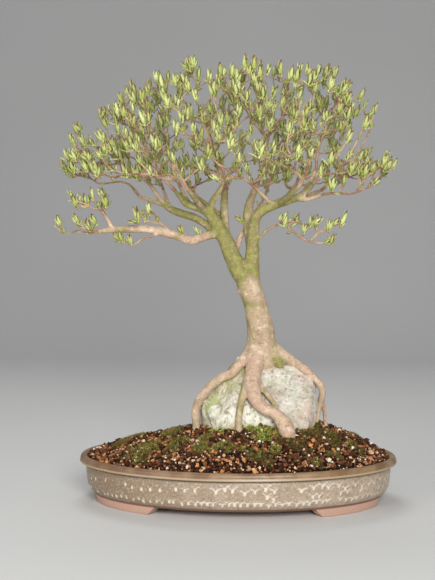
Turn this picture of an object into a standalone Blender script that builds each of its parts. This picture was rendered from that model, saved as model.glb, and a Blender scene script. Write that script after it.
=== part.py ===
"""An amur maple bonsai grown over a rock, with its oval stoneware pot. All lengths are in millimetres."""
import math
import random

import bmesh
import bpy
import numpy as np
from mathutils import Matrix, Vector, noise

MM = 0.001
GAP = 0.3

# The pot's rim, and how far the crown reaches to its left. The part's middle lies between the two ends.
POT_HALF_LENGTH = 225.0
POT_HALF_DEPTH = 148.0
CROWN_REACH = 255.0
POT_CENTRE_X = (CROWN_REACH - POT_HALF_LENGTH) / 2

POT_HEIGHT = 65.0
LIP_HEIGHT = 11.0
LIP_WIDTH = 10.0
LIP_OVERHANG = 9.0
WALL = 8.0
FOOT_HEIGHT = 10.0
FOOT_INSET = 20.0
FOOT_WIDTH = 18.0
FOOT_ANGLES = (12.0, 59.0)
FOOT_SLANT = 4.0
FLOOR_TOP = FOOT_HEIGHT + 8.0
OVAL_SIDES = 36

DRAIN_X = 105.0
DRAIN_RADIUS = 11.0
SCREEN_SIZE = 30.0
SCREEN_THICKNESS = 1.2
SCREEN_BARS = 3
SCREEN_BAR_WIDTH = 3.0
CLIP_WIRE = 0.75
CLIP_REACH = 15.0

SOIL_EDGE = POT_HEIGHT - 3.2
SOIL_EDGE_INSET = 12.2
# The soil fills the pot to a low heap, and a mound on it holds the rock: its middle, height and half sizes.
HEAP_RISE = 13.7
MOUND_RISE = 45.0
MOUND_CENTRE = (42.5, -14.0)
MOUND_HALF = (142.0, 140.0)
SOIL_RINGS = 7
SOIL_GRAIN = 1.3
SOIL_GRAIN_PITCH = 9.0

ROCK_CENTRE = Vector((28.0, 6.0, 118.0))
ROCK_HALF = Vector((81.0, 66.0, 73.0))
# Where the rock swells or is hollow: the way from its middle, how far, and how wide.
ROCK_SWELLS = (
    (Vector((-0.22, 0.12, 0.97)), 14.0, 0.16),
    (Vector((0.2, 0.1, 0.98)), -7.0, 0.25),
    (Vector((0.62, 0.0, 0.78)), 5.0, 0.22),
    (Vector((0.12, -0.5, 0.86)), 5.0, 0.3),
)
# The left shoulder has broken away along two slopes: the way each faces, and its part of the rock's half size.
ROCK_BREAKS = ((Vector((-0.867, 0.0, 0.499)), 0.93), (Vector((-0.7, 0.0, 0.714)), 0.93))
ROCK_FACETS = 9
ROCK_FACET_SEED = 5
ROCK_SEED = Vector((3.7, 1.2, 8.1))
ROCK_ROUGHNESS = 5.0
ROCK_TAPER = 0.35
# The power makes a ball at 2 and nears a block as it grows, here towards the right.
ROCK_POWER = 4.6
ROCK_SQUARER_RIGHT = 1.4

# The tree's wood as it grew: x, y and z about the pot's middle at the table, and the radius.
WOOD = {
    "trunk": ((37, 6, 184, 20), (36, 4, 196, 21.5), (35.5, 2, 212, 21), (33.5, 0, 229, 20.2),
              (32, 0, 246, 19.2), (27.5, 0, 268, 17), (21.5, 0, 289, 16.5), (15.5, 0, 306, 16.5),
              (9, 0, 322, 11)),
    "left_stem": ((19, 0, 296, 11), (5, 0, 321, 13.8), (-5.5, -2, 341, 12.2), (-15, -4, 364, 11),
                  (-24, -6, 382, 9.6), (-34, -7, 398, 8.4), (-44, -8, 413, 7.2)),
    "right_stem": ((17, 0, 302, 14), (20, 0, 324, 11.8), (21, -2, 347, 9.8), (21.5, -5, 365, 8.6),
                   (23, -10, 385, 7.8), (28, -14, 402, 7), (39, -17, 411, 6.7), (53, -19, 417, 6.4),
                   (69, -20, 422, 6), (85, -20, 427, 5)),
    "beige_stem": ((19, -1, 352, 6.6), (17, 8, 370, 6.6), (14, 18, 396, 7), (16, 23, 418, 6.4),
                   (22, 27, 436, 5)),
    "centre_stem": ((-8, -1, 346, 6.4), (-16, 9, 368, 6), (-19, 19, 396, 5.9), (-20, 26, 422, 5.6),
                    (-19, 30, 440, 4.6)),
    "diagonal": ((-3, 1, 350, 4.4), (3, 16, 372, 4), (11, 34, 386, 3.6), (23, 56, 408, 3.2)),
    "root_left": ((26, 0, 224, 11), (16, -7, 208, 8.4), (5, -14, 194, 7), (-7, -21, 181, 6.7),
                  (-20, -26, 176, 6.4), (-32, -28, 167, 6.3), (-44, -29, 155, 6), (-54, -28, 141, 5.9),
                  (-58, -27, 126, 5.6), (-57, -27, 109, 5.3), (-57, -27, 91, 4.8), (-56, -27, 77, 3.4)),
    "root_front": ((30, -2, 228, 15), (27, -12, 204, 12.9), (23, -30, 182, 11.7), (23, -43, 169, 10.5),
                   (24, -53, 157, 9.8), (28, -59, 147, 9.2), (38, -64, 138, 8.2), (50, -68, 133, 7.8),
                   (59, -71, 127, 8.8), (66, -74, 117, 10.6), (70, -76, 107, 11.2), (72, -79, 91, 9.2),
                   (74, -82, 74, 5.5)),
    "root_thin": ((21, -18, 194, 5.6), (15, -32, 176, 5.4), (12, -43, 163, 5.1), (8, -56, 148, 4.8),
                  (5, -62, 132, 4.6), (4, -67, 118, 4.6), (5, -71, 104, 4.5), (6, -74, 88, 3.8),
                  (6, -75, 76, 2.8)),
    "root_join": ((29, -32, 176, 4.2), (36, -43, 163, 3.6), (44, -53, 153, 3.4), (52, -60, 144, 3.2),
                  (57, -68, 131, 3)),
    "root_right": ((38, 2, 223, 12), (55, 0, 211, 10), (70, -2, 201, 8.2), (84, -4, 192, 7),
                   (97, -13, 184, 6.1), (109, -15, 173, 5.4), (118, -14, 162, 4.9), (120, -13, 152, 4.7),
                   (117, -11, 139, 4.5), (113, -14, 123, 3.9), (110, -17, 107, 3.7), (109, -19, 90, 3.1),
                   (109, -19, 78, 2.2)),
    "root_right_fork": ((118, -9, 145, 3.4), (122, -7, 133, 3.1), (124, -7, 119, 2.8), (125, -8, 103, 2.6),
                        (125, -9, 84, 2)),
    "root_web": ((42, -2, 214, 12), (52, -6, 203, 9.5), (59, -8, 195, 7), (62, -9, 187, 4.5)),
    "root_back": ((38, 8, 216, 11), (46, 26, 198, 9), (52, 44, 182, 8), (56, 60, 160, 7), (58, 70, 134, 6.2),
                  (60, 78, 110, 5.6), (60, 82, 88, 4.6), (60, 83, 74, 3)),
    "root_back_left": ((28, 8, 212, 10), (12, 26, 196, 7.6), (-6, 42, 182, 6.4), (-20, 54, 160, 5.6),
                       (-28, 62, 134, 5), (-32, 70, 108, 4.4), (-34, 74, 86, 3.4)),
    "low_left": ((-26, -6, 378, 6.4), (-43, -12, 374, 6.1), (-55, -18, 369, 6.2), (-65, -22, 367, 6.2),
                 (-79, -28, 372, 6), (-96, -34, 377, 6), (-118, -40, 382, 5.7), (-137, -44, 383, 5.4),
                 (-157, -47, 382, 4.8), (-175, -48, 381, 4), (-191, -48, 379, 2.6)),
    "low_left_fork": ((-170, -48, 382, 3.4), (-176, -50, 393, 2.8), (-181, -54, 402, 2.2)),
    "left_limb": ((-22, -5, 370, 6), (-37, -2, 383, 5.6), (-49, 2, 393, 5.5), (-63, 6, 401, 5.6),
                  (-80, 10, 406, 5.6), (-96, 14, 413, 5.2), (-108, 17, 422, 4.2)),
    "left_limb_out": ((-104, 16, 419, 3.8), (-127, 22, 426, 3), (-140, 26, 431, 2.4)),
    "left_limb_up": ((-104, 16, 418, 3.6), (-116, 14, 433, 3.2), (-123, 10, 444, 2.6)),
    "left_limb_back": ((-98, 15, 414, 3.4), (-104, 30, 428, 2.8), (-110, 44, 442, 2.2)),
    "fork_left": ((-40, -8, 406, 5.8), (-52, -12, 412, 5.4), (-61, -16, 415, 5.1), (-71, -20, 418, 4.5),
                  (-78, -25, 426, 3.6), (-86, -30, 436, 2.6)),
    "fork_left_up": ((-67, -18, 417, 3.6), (-73, -21, 429, 3.2), (-79, -23, 442, 2.4)),
    "fork_right": ((-40, -8, 406, 5.4), (-35, -8, 422, 4.5), (-27, -9, 434, 4), (-21, -10, 446, 3)),
    "rise": ((80, -20, 425, 4.6), (96, -22, 435, 3.8), (107, -24, 447, 2.6)),
    "rise_up": ((92, -21, 433, 3.6), (103, -16, 450, 3), (109, -12, 464, 2.2)),
    "right_limb": ((80, -20, 426, 4), (97, -23, 424, 3.1), (118, -26, 430, 2.3)),
    "right_low": ((20, -4, 363, 2.8), (31, -11, 371, 2.2), (40, -18, 380, 2)),
    "crossing": ((50, -19, 417, 3.2), (39, -32, 426, 2.8), (28, -42, 437, 2.4)),
    "back_left": ((-18, 20, 398, 5), (-38, 44, 414, 4.2), (-58, 66, 430, 3)),
    "back_right": ((15, 20, 402, 5), (38, 44, 416, 4.4), (64, 68, 430, 3)),
    "front_left": ((-48, -10, 410, 4.4), (-56, -34, 422, 3.6), (-66, -56, 436, 2.6)),
    "front_right": ((57, -20, 418, 4.4), (70, -42, 426, 3.6), (84, -62, 438, 2.6)),
    "back_far_right": ((74, -19, 423, 4.2), (98, 8, 430, 3.6), (118, 32, 440, 2.6)),
    "low_left_shoot": ((-93, -33, 378, 2.6), (-99, -39, 385, 1.9)),
    "low_left_under": ((-108, -38, 377, 2.4), (-115, -46, 373, 1.7)),
}

# Twigs seen alone against the dark in the photo, by the spray that they belong to.
TWIGS = {
    "low_left": (((-205, -47, 377, 1.5), (-221, -44, 380, 1.3), (-238, -40, 376, 1.1), (-255, -36, 388, .9)),
                 ((-203, -47, 377, 1.3), (-208, -56, 383, 1.1), (-216, -60, 390, 1))),
    "low_left_fork": (((-187, -56, 409, 1.8), (-196, -58, 411, 1.4), (-206, -58, 416, 1.2),
                       (-221, -56, 422, 1)),),
    "left_limb_out": (((-152, 28, 443, 1.9), (-161, 30, 451, 1.7), (-176, 32, 454, 1.5),
                       (-189, 32, 452, 1.4), (-205, 34, 452, 1.3), (-216, 36, 459, 1.2),
                       (-231, 36, 463, 1.1), (-243, 36, 461, 1)),),
    "left_limb_up": (((-131, 6, 453, 2.2), (-142, 2, 459, 2), (-155, -2, 467, 1.7), (-169, -6, 477, 1.4)),),
    "left_limb_back": (((-116, 56, 456, 1.8), (-126, 66, 468, 1.5), (-134, 78, 482, 1.3)),),
    "fork_left": (((-95, -35, 446, 2.1), (-104, -42, 458, 1.7), (-114, -46, 476, 1.4)),),
    "fork_left_up": (((-85, -26, 454, 2), (-90, -26, 472, 1.7), (-96, -22, 492, 1.4)),),
    "fork_right": (((-17, -10, 455, 2.4), (-22, -14, 472, 1.9), (-30, -18, 490, 1.5)),),
    "centre_stem": (((-22, 34, 456, 3), (-30, 40, 478, 2.2), (-34, 48, 502, 1.6)),),
    "beige_stem": (((28, 30, 452, 3.2), (36, 34, 472, 2.4), (40, 36, 496, 1.7)),),
    "diagonal": (((34, 70, 426, 2.4), (42, 80, 446, 1.9), (48, 88, 470, 1.5)),),
    "rise": (((113, -26, 454, 2), (123, -28, 458, 1.8), (136, -32, 461, 1.6), (151, -38, 476, 1.4)),),
    "rise_up": (((111, -12, 480, 1.8), (114, -10, 498, 1.5)),),
    "right_limb": (((139, -30, 432, 1.8), (158, -32, 431, 1.6), (171, -34, 435, 1.4),
                    (188, -36, 442, 1.2)),),
    "right_low": (((53, -28, 387, 1.8), (65, -38, 392, 1.7), (71, -44, 385, 1.6), (83, -52, 374, 1.4),
                   (96, -58, 366, 1.3), (108, -62, 363, 1.2), (119, -66, 362, 1)),
                  ((66, -39, 391, 1.4), (77, -42, 392, 1.3), (90, -46, 389, 1.2), (103, -50, 387, 1.1)),
                  ((100, -59, 365, 1.2), (109, -58, 374, 1.1), (118, -56, 381, 1), (130, -54, 385, 1))),
    "crossing": (((15, -52, 448, 2), (5, -58, 452, 1.8), (-11, -64, 450, 1.6), (-21, -70, 446, 1.4)),),
    "back_left": (((-74, 78, 448, 2.2), (-86, 86, 468, 1.7)), ((-66, 84, 452, 1.8), (-64, 96, 476, 1.5))),
    "back_right": (((80, 80, 446, 2.2), (92, 88, 468, 1.7)), ((70, 86, 452, 1.8), (66, 98, 476, 1.5))),
    "front_left": (((-74, -72, 452, 2), (-82, -84, 470, 1.6)),),
    "front_right": (((94, -76, 454, 2), (100, -88, 474, 1.6)),),
    "back_far_right": (((134, 44, 454, 2), (146, 52, 472, 1.6)),),
    "low_left_shoot": (((-107, -46, 393, 1.4), (-113, -51, 403, 1.3), (-120, -54, 406, 1.2),
                        (-128, -57, 398, 1.2), (-134, -60, 391, 1)),),
    "low_left_under": (((-122, -50, 371, 1.4), (-131, -54, 367, 1.3), (-141, -58, 360, 1.2),
                        (-150, -62, 363, 1.1), (-158, -66, 365, 1)),),
}

# Where the tips of single buds stand, for the sprays that the photo shows apart from the crown.
BUD_TIPS = {
    "low_left": ((-252, -34, 404), (-221, -62, 403), (-209, -52, 398), (-199, -60, 404),
                 (-190, -40, 400)),
    "low_left_fork": ((-214, -50, 434), (-199, -62, 439), (-188, -52, 443), (-180, -66, 430),
                      (-226, -58, 430)),
    "low_left_shoot": ((-120, -56, 422), (-138, -64, 414), (-128, -48, 410)),
    "low_left_under": ((-146, -62, 378), (-160, -68, 380), (-133, -50, 384)),
    "right_low": ((134, -68, 378), (96, -66, 392), (112, -48, 404), (128, -60, 398), (150, -52, 408),
                  (84, -38, 406), (70, -50, 408), (104, -60, 404)),
    "right_limb": ((219, -36, 482), (207, -30, 488), (190, -46, 476), (196, -22, 480), (172, -40, 472),
                   (152, -22, 464), (134, -38, 458)),
}
# The crown's outline from the front: the height of its top over x, and of its underside.
CROWN_TOP = ((-252, 484), (-232, 540), (-195, 558), (-160, 589), (-113, 611), (-72, 628), (-22, 618),
             (12, 627), (60, 621), (130, 616), (160, 596), (195, 562), (219, 484))
CROWN_BASE = ((-252, 462), (-160, 454), (-100, 446), (0, 452), (100, 452), (219, 458))
CROWN_CENTRE_X = -16.0
CROWN_HALF_LENGTH = 240.0
CROWN_HALF_DEPTH = 140.0
CROWN_WAIST = 446.0
CROWN_BUDS = 102
BUD_SPACING = 27.0
SEED = 18

BUD_LENGTH = 17.0
BUD_WIDTH = 4.6
BUD_DEPTH = 2.4
BUD_CUP = 5.0
BUD_LEAN = 0.42
BUD_OPENING = 0.42
SHOOT_RADIUS = 1.05
SHOOT_BOW = 0.1
SHOOT_SAG = 0.07
SHORT_SHOOT = 18.0
LONG_SHOOT = 60.0
# How much a shoot prefers to grow on along its twig, and upwards, and the sharpest turn that it takes.
PREFER_AHEAD = 0.6
PREFER_UP = 0.3
SHARPEST_TURN = 0.3
CLEARANCE = 0.7
PLACING_TRIES = 14


def clear_scene():
    for thing in list(bpy.data.objects):
        bpy.data.objects.remove(thing)


def new_collection(name, helpers=True):
    """A collection for finished pieces, or for helpers that a join or cut uses up."""
    group = bpy.data.collections.new(name)
    group.hide_render = helpers
    bpy.context.scene.collection.children.link(group)
    return group


def mesh_object(name, bm, group):
    """Makes an object of a bmesh, with its faces turned outwards."""
    bmesh.ops.recalc_face_normals(bm, faces=bm.faces)
    mesh = bpy.data.meshes.new(name)
    bm.to_mesh(mesh)
    bm.free()
    piece = bpy.data.objects.new(name, mesh)
    if group.hide_render:
        piece.display_type = "WIRE"
    group.objects.link(piece)
    return piece


def apply_modifier(piece, modifier):
    with bpy.context.temp_override(object=piece, active_object=piece):
        bpy.ops.object.modifier_apply(modifier=modifier.name)


def combine(piece, others, operation, solver="EXACT"):
    """Joins or cuts a piece with all objects of a collection, and removes them."""
    modifier = piece.modifiers.new(operation.lower(), "BOOLEAN")
    modifier.operation = operation
    modifier.operand_type = "COLLECTION"
    modifier.collection = others
    modifier.solver = solver
    apply_modifier(piece, modifier)
    for thing in list(others.objects):
        bpy.data.objects.remove(thing)


def paint(piece, name, colour, roughness):
    material = bpy.data.materials.new(name)
    material.use_nodes = True
    shader = material.node_tree.nodes["Principled BSDF"]
    shader.inputs["Base Color"].default_value = (*colour, 1.0)
    shader.inputs["Roughness"].default_value = roughness
    piece.data.materials.clear()
    piece.data.materials.append(material)


def oval_ring(bm, inset, height):
    """One ring of points on the pot's oval, drawn in by inset."""
    ring = []
    for step in range(OVAL_SIDES):
        angle = 2 * math.pi * step / OVAL_SIDES
        x = (POT_HALF_LENGTH - inset) * math.cos(angle)
        y = (POT_HALF_DEPTH - inset) * math.sin(angle)
        ring.append(bm.verts.new((x, y, height)))
    return ring


def bridge(bm, lower, upper):
    for step in range(len(lower)):
        following = (step + 1) % len(lower)
        bm.faces.new((lower[step], lower[following], upper[following], upper[step]))


def frame_at(points, index, turn):
    """The axes of a section across a route, and the frame that the next section goes on from."""
    ahead = points[min(index + 1, len(points) - 1)]
    behind = points[max(index - 1, 0)]
    along = (ahead - behind).normalized()
    side = (turn - along * turn.dot(along)).normalized()
    return side, along.cross(side)


def tube(bm, route, sides, swell=0.0):
    """A closed tube along a route of points and radii. swell widens it and lengthens its ends."""
    points = [Vector(p[:3]) for p in route]
    if swell:
        points[0] -= (points[1] - points[0]).normalized() * swell
        points[-1] += (points[-1] - points[-2]).normalized() * swell
    turn = (points[1] - points[0]).normalized().orthogonal()
    before = None
    for index, point in enumerate(points):
        side, up = frame_at(points, index, turn)
        turn = side
        radius = route[index][3] + swell
        ring = []
        for step in range(sides):
            angle = 2 * math.pi * step / sides
            offset = (side * math.cos(angle) + up * math.sin(angle)) * radius
            ring.append(bm.verts.new(point + offset))
        if before is None:
            bm.faces.new(ring[::-1])
        else:
            bridge(bm, before, ring)
        before = ring
    bm.faces.new(before)


def sides_for(route):
    """More sides for a thicker limb."""
    thickest = max(point[3] for point in route)
    for limit, sides in ((14, 9), (7, 7), (4, 5)):
        if thickest > limit:
            return sides
    return 4


def make_pot(group):
    """The bowl as one turned profile on an oval, with feet joined on and drain holes cut."""
    lip_bottom = POT_HEIGHT - LIP_HEIGHT
    outside = LIP_OVERHANG
    inside = LIP_OVERHANG + WALL
    # Each is (inset from the rim, height).
    belly = (
        (outside + 17, FOOT_HEIGHT), (outside + 12, FOOT_HEIGHT + 2), (outside + 6, FOOT_HEIGHT + 7),
        (outside + 2.5, FOOT_HEIGHT + 14), (outside, lip_bottom - 5), (outside + 1.2, lip_bottom - 1.5),
    )
    lip = (
        (outside - 1, lip_bottom), (1.6, lip_bottom + 1), (0, lip_bottom + 4), (1, POT_HEIGHT - 2.2),
        (4, POT_HEIGHT), (LIP_WIDTH, POT_HEIGHT - 1.2),
    )
    hollow = (
        (inside, lip_bottom + 1), (inside + 2, FLOOR_TOP + 14), (inside + 9, FLOOR_TOP + 4),
        (inside + 20, FLOOR_TOP),
    )
    bm = bmesh.new()
    rings = [oval_ring(bm, inset, height) for inset, height in belly + lip + hollow]
    for lower, upper in zip(rings, rings[1:]):
        bridge(bm, lower, upper)
    bm.faces.new(rings[0][::-1])
    bm.faces.new(rings[-1])
    pot = mesh_object("pot", bm, group)

    feet = new_collection("feet")
    for across in (1, -1):
        for along in (1, -1):
            mesh_object("foot", foot_mesh(along, across), feet)
    combine(pot, feet, "UNION")

    drills = new_collection("drills")
    for x in (-DRAIN_X, DRAIN_X):
        bm = bmesh.new()
        place = Matrix.Translation((x, 0, (FOOT_HEIGHT + FLOOR_TOP) / 2))
        bmesh.ops.create_cone(bm, cap_ends=True, segments=20, radius1=DRAIN_RADIUS, radius2=DRAIN_RADIUS,
                              depth=4 * WALL, matrix=place)
        mesh_object("drill", bm, drills)
    combine(pot, drills, "DIFFERENCE")
    return pot


def foot_mesh(along, across):
    """One foot, which follows the oval and narrows to the table at both ends."""
    bm = bmesh.new()
    before = None
    steps = 4
    first, last = (math.radians(angle) for angle in FOOT_ANGLES)
    slant = math.radians(FOOT_SLANT)
    for step in range(steps + 1):
        part = step / steps
        upper = first + (last - first) * part
        lower = first + slant + (last - first - 2 * slant) * part
        section = []
        for angle, inset, height in (
            (lower, FOOT_INSET + 2, 0), (upper, FOOT_INSET, FOOT_HEIGHT + 3),
            (upper, FOOT_INSET + FOOT_WIDTH, FOOT_HEIGHT + 3), (lower, FOOT_INSET + FOOT_WIDTH - 2, 0),
        ):
            x = along * (POT_HALF_LENGTH - inset) * math.cos(angle)
            y = across * (POT_HALF_DEPTH - inset) * math.sin(angle)
            section.append(bm.verts.new((x, y, height)))
        if before:
            bridge(bm, before, section)
        else:
            bm.faces.new(section[::-1])
        before = section
    bm.faces.new(before)
    return bm


def make_screen(name, x, group):
    """A square of plastic mesh flat on the pot's floor, as bars with open squares between."""
    bars = new_collection("bars")
    half = SCREEN_SIZE / 2
    pitch = (SCREEN_SIZE - SCREEN_BAR_WIDTH) / (SCREEN_BARS - 1)
    middle = FLOOR_TOP + GAP + SCREEN_THICKNESS / 2
    screen = None
    for number in range(2 * SCREEN_BARS):
        offset = (number // 2) * pitch - half + SCREEN_BAR_WIDTH / 2
        lengthwise = number % 2 == 0
        size = (SCREEN_SIZE, SCREEN_BAR_WIDTH) if lengthwise else (SCREEN_BAR_WIDTH, SCREEN_SIZE)
        place = (x, offset) if lengthwise else (x + offset, 0)
        bm = bmesh.new()
        bmesh.ops.create_cube(bm, size=1)
        bmesh.ops.scale(bm, vec=(*size, SCREEN_THICKNESS), verts=bm.verts)
        bmesh.ops.translate(bm, vec=(*place, middle), verts=bm.verts)
        if screen is None:
            screen = mesh_object(name, bm, group)
        else:
            mesh_object("bar", bm, bars)
    combine(screen, bars, "UNION")
    return screen


def clip_route(x):
    """The wire over the screen, down through it and the hole, and out under the pot's floor."""
    top = FLOOR_TOP + GAP + SCREEN_THICKNESS + GAP + CLIP_WIRE
    under = FOOT_HEIGHT - GAP - CLIP_WIRE
    leg = (SCREEN_SIZE - SCREEN_BAR_WIDTH) / (SCREEN_BARS - 1) / 2
    half = ((leg - 1.2, top), (leg, top - 1.2), (leg, under + 1.2), (leg + 1.2, under), (CLIP_REACH, under))
    route = [(x - across, leg, height, CLIP_WIRE) for across, height in reversed(half)]
    route.extend((x + across, leg, height, CLIP_WIRE) for across, height in half)
    return route


def soil_height(x, y):
    """The heap in the pot and the mound about the rock, with the grains' unevenness."""
    across = y / (POT_HALF_DEPTH - SOIL_EDGE_INSET)
    along = x / (POT_HALF_LENGTH - SOIL_EDGE_INSET)
    spread = min(1.0, math.hypot(along, across))
    aside = abs(x - MOUND_CENTRE[0]) / MOUND_HALF[0]
    ahead = abs(y - MOUND_CENTRE[1]) / MOUND_HALF[1]
    rise = HEAP_RISE + MOUND_RISE * math.exp(-aside ** 1.9 - ahead ** 1.5)
    grain = noise.noise(Vector((x, y, 0)) / SOIL_GRAIN_PITCH) * SOIL_GRAIN
    return SOIL_EDGE + (rise + grain) * (1 - spread ** 6)


def make_soil(group):
    """The soil fills the pot a little clear of it and rises to a mound."""
    inner = LIP_OVERHANG + WALL
    clear = GAP + 0.2
    below = (
        (inner + 20, FLOOR_TOP), (inner + 9, FLOOR_TOP + 4), (inner + 2, FLOOR_TOP + 14),
        (inner, POT_HEIGHT - LIP_HEIGHT + 1),
    )
    bm = bmesh.new()
    rings = [oval_ring(bm, inset + clear, height + clear / 2) for inset, height in below]
    bm.faces.new(rings[0][::-1])
    for ring in range(SOIL_RINGS):
        part = 1 - ring / SOIL_RINGS
        points = []
        for step in range(OVAL_SIDES):
            angle = 2 * math.pi * (step + 0.5 * (ring % 2)) / OVAL_SIDES
            x = (POT_HALF_LENGTH - SOIL_EDGE_INSET) * part * math.cos(angle)
            y = (POT_HALF_DEPTH - SOIL_EDGE_INSET) * part * math.sin(angle)
            points.append(bm.verts.new((x, y, soil_height(x, y))))
        rings.append(points)
    for lower, upper in zip(rings, rings[1:]):
        bridge(bm, lower, upper)
    centre = bm.verts.new((0, 0, soil_height(0, 0)))
    for step in range(OVAL_SIDES):
        bm.faces.new((rings[-1][step], rings[-1][(step + 1) % OVAL_SIDES], centre))
    bmesh.ops.triangulate(bm, faces=bm.faces)
    return mesh_object("soil", bm, group)


def rock_mesh(swell=0.0):
    """A broken boulder, rounded on the left and squarer on the right. swell makes the hollow around it."""
    rng = random.Random(ROCK_FACET_SEED)
    facets = list(ROCK_BREAKS)
    for _ in range(ROCK_FACETS):
        facing = Vector((rng.uniform(-1, 0.3), rng.uniform(-1, 1), rng.uniform(-0.4, 1))).normalized()
        facets.append((facing, rng.uniform(0.94, 1.05)))
    bm = bmesh.new()
    bmesh.ops.create_icosphere(bm, subdivisions=3, radius=1)
    size = ROCK_HALF + Vector((swell, swell, swell))
    for vert in bm.verts:
        way = vert.co.normalized()
        power = ROCK_POWER + ROCK_SQUARER_RIGHT * max(-1.0, min(1.0, way.x / 0.6))
        place = way * sum(abs(part) ** power for part in way) ** (-1 / power)
        for facing, distance in facets:
            place -= facing * max(0.0, place.dot(facing) - distance)
        place.y *= 1 - ROCK_TAPER * place.z
        lump = noise.noise(way * 2.1 + ROCK_SEED) * 1.4 + noise.noise(way * 5.0 + ROCK_SEED) * 0.7
        swell_here = sum(
            math.exp(-((way - middle).length / spread) ** 2) * far for middle, far, spread in ROCK_SWELLS
        )
        vert.co = ROCK_CENTRE + place * size + way * (lump * ROCK_ROUGHNESS + swell_here)
    return bm


def keep_largest(piece):
    """Removes the chips or sealed hollows that a cut or join leaves beside the main body."""
    bm = bmesh.new()
    bm.from_mesh(piece.data)
    left = set(bm.verts)
    bodies = []
    while left:
        body = [left.pop()]
        for vert in body:
            for edge in vert.link_edges:
                other = edge.other_vert(vert)
                if other in left:
                    left.remove(other)
                    body.append(other)
        bodies.append(body)
    bodies.sort(key=len)
    for body in bodies[:-1]:
        bmesh.ops.delete(bm, geom=body, context="VERTS")
    bm.to_mesh(piece.data)
    bm.free()


def make_wood(group):
    """Trunk, roots and limbs as tubes joined to one body, each starting inside the one that it grew from."""
    limbs = new_collection("limbs")
    for name, route in WOOD.items():
        bm = bmesh.new()
        tube(bm, route, sides_for(route))
        if name == "trunk":
            trunk = mesh_object(name, bm, group)
        else:
            mesh_object(name, bm, limbs)
    combine(trunk, limbs, "UNION")
    return trunk


def root_cutters(group):
    """The lower wood a little swollen, which leaves the roots their place in rock and soil."""
    for name, route in WOOD.items():
        if name == "trunk" or name.startswith("root"):
            bm = bmesh.new()
            tube(bm, route, sides_for(route), swell=GAP + 0.1)
            mesh_object("hollow", bm, group)


class Reach:
    """The stretches of wood and leaf placed so far, to keep each spray clear of the others."""

    def __init__(self):
        self.starts = []
        self.ends = []
        self.radii = []
        self.owners = []

    def add(self, owner, stretches):
        for start, end, radius in stretches:
            self.starts.append(start)
            self.ends.append(end)
            self.radii.append(radius)
            self.owners.append(owner)

    def clear(self, owner, stretches):
        """Whether new stretches stay off all that belongs to others."""
        others = [number for number, name in enumerate(self.owners) if name != owner]
        if not others:
            return True
        starts = np.array([self.starts[number] for number in others])
        ends = np.array([self.ends[number] for number in others])
        radii = np.array([self.radii[number] for number in others])
        for start, end, radius in stretches:
            gap = nearest(np.array(start), np.array(end), starts, ends) - radii - radius
            if gap.min() < CLEARANCE:
                return False
        return True


def nearest(start, end, starts, ends):
    """The distance from one stretch to each of many."""
    along = end - start
    others = ends - starts
    between = start - starts
    own = along @ along + 1e-9
    theirs = np.einsum("ij,ij->i", others, others) + 1e-9
    shared = others @ along
    own_lead = between @ along
    their_lead = np.einsum("ij,ij->i", others, between)
    spread = np.maximum(own * theirs - shared ** 2, 1e-6)
    part = np.clip((shared * their_lead - theirs * own_lead) / spread, 0, 1)
    other_part = np.clip((shared * part + their_lead) / theirs, 0, 1)
    part = np.clip((shared * other_part - own_lead) / own, 0, 1)
    apart = between + part[:, None] * along - other_part[:, None] * others
    return np.sqrt(np.einsum("ij,ij->i", apart, apart))


def stretches_of(route):
    return [(a[:3], b[:3], max(a[3], b[3])) for a, b in zip(route, route[1:])]


def height_on(line, x):
    """The height of an outline of (x, height) corners at x."""
    return float(np.interp(x, [corner[0] for corner in line], [corner[1] for corner in line]))


def crown_tips(rng):
    """Bud tips spread evenly through the crown, most of them near its top."""
    tips = [Vector((x, rng.uniform(-12, 12), height)) for x, height in CROWN_TOP]
    tries = 0
    while len(tips) < CROWN_BUDS and tries < 20000:
        tries += 1
        x = CROWN_CENTRE_X + rng.uniform(-1, 1) * CROWN_HALF_LENGTH
        half = CROWN_HALF_DEPTH * math.sqrt(max(0.0, 1 - ((x - CROWN_CENTRE_X) / CROWN_HALF_LENGTH) ** 2))
        y = rng.uniform(-1, 1) * half
        fall = math.sqrt(max(0.0, 1 - (y / (half + 1)) ** 2))
        top = CROWN_WAIST + (height_on(CROWN_TOP, x) - CROWN_WAIST) * fall
        base = height_on(CROWN_BASE, x) + BUD_LENGTH
        depth = rng.random() ** 1.7
        z = top - depth * (top - base)
        if z < base:
            continue
        tip = Vector((x, y, z))
        if all((tip - other).length > BUD_SPACING for other in tips):
            tips.append(tip)
    return tips


def bud_way(tip, rng):
    """Buds stand nearly upright and lean a little outwards."""
    out = Vector((tip.x - CROWN_CENTRE_X, tip.y, 0)) / CROWN_HALF_LENGTH
    waver = Vector((rng.uniform(-1, 1), rng.uniform(-1, 1), 0)) * 0.16
    return (out * BUD_LEAN + waver + Vector((0, 0, 1))).normalized()


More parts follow.
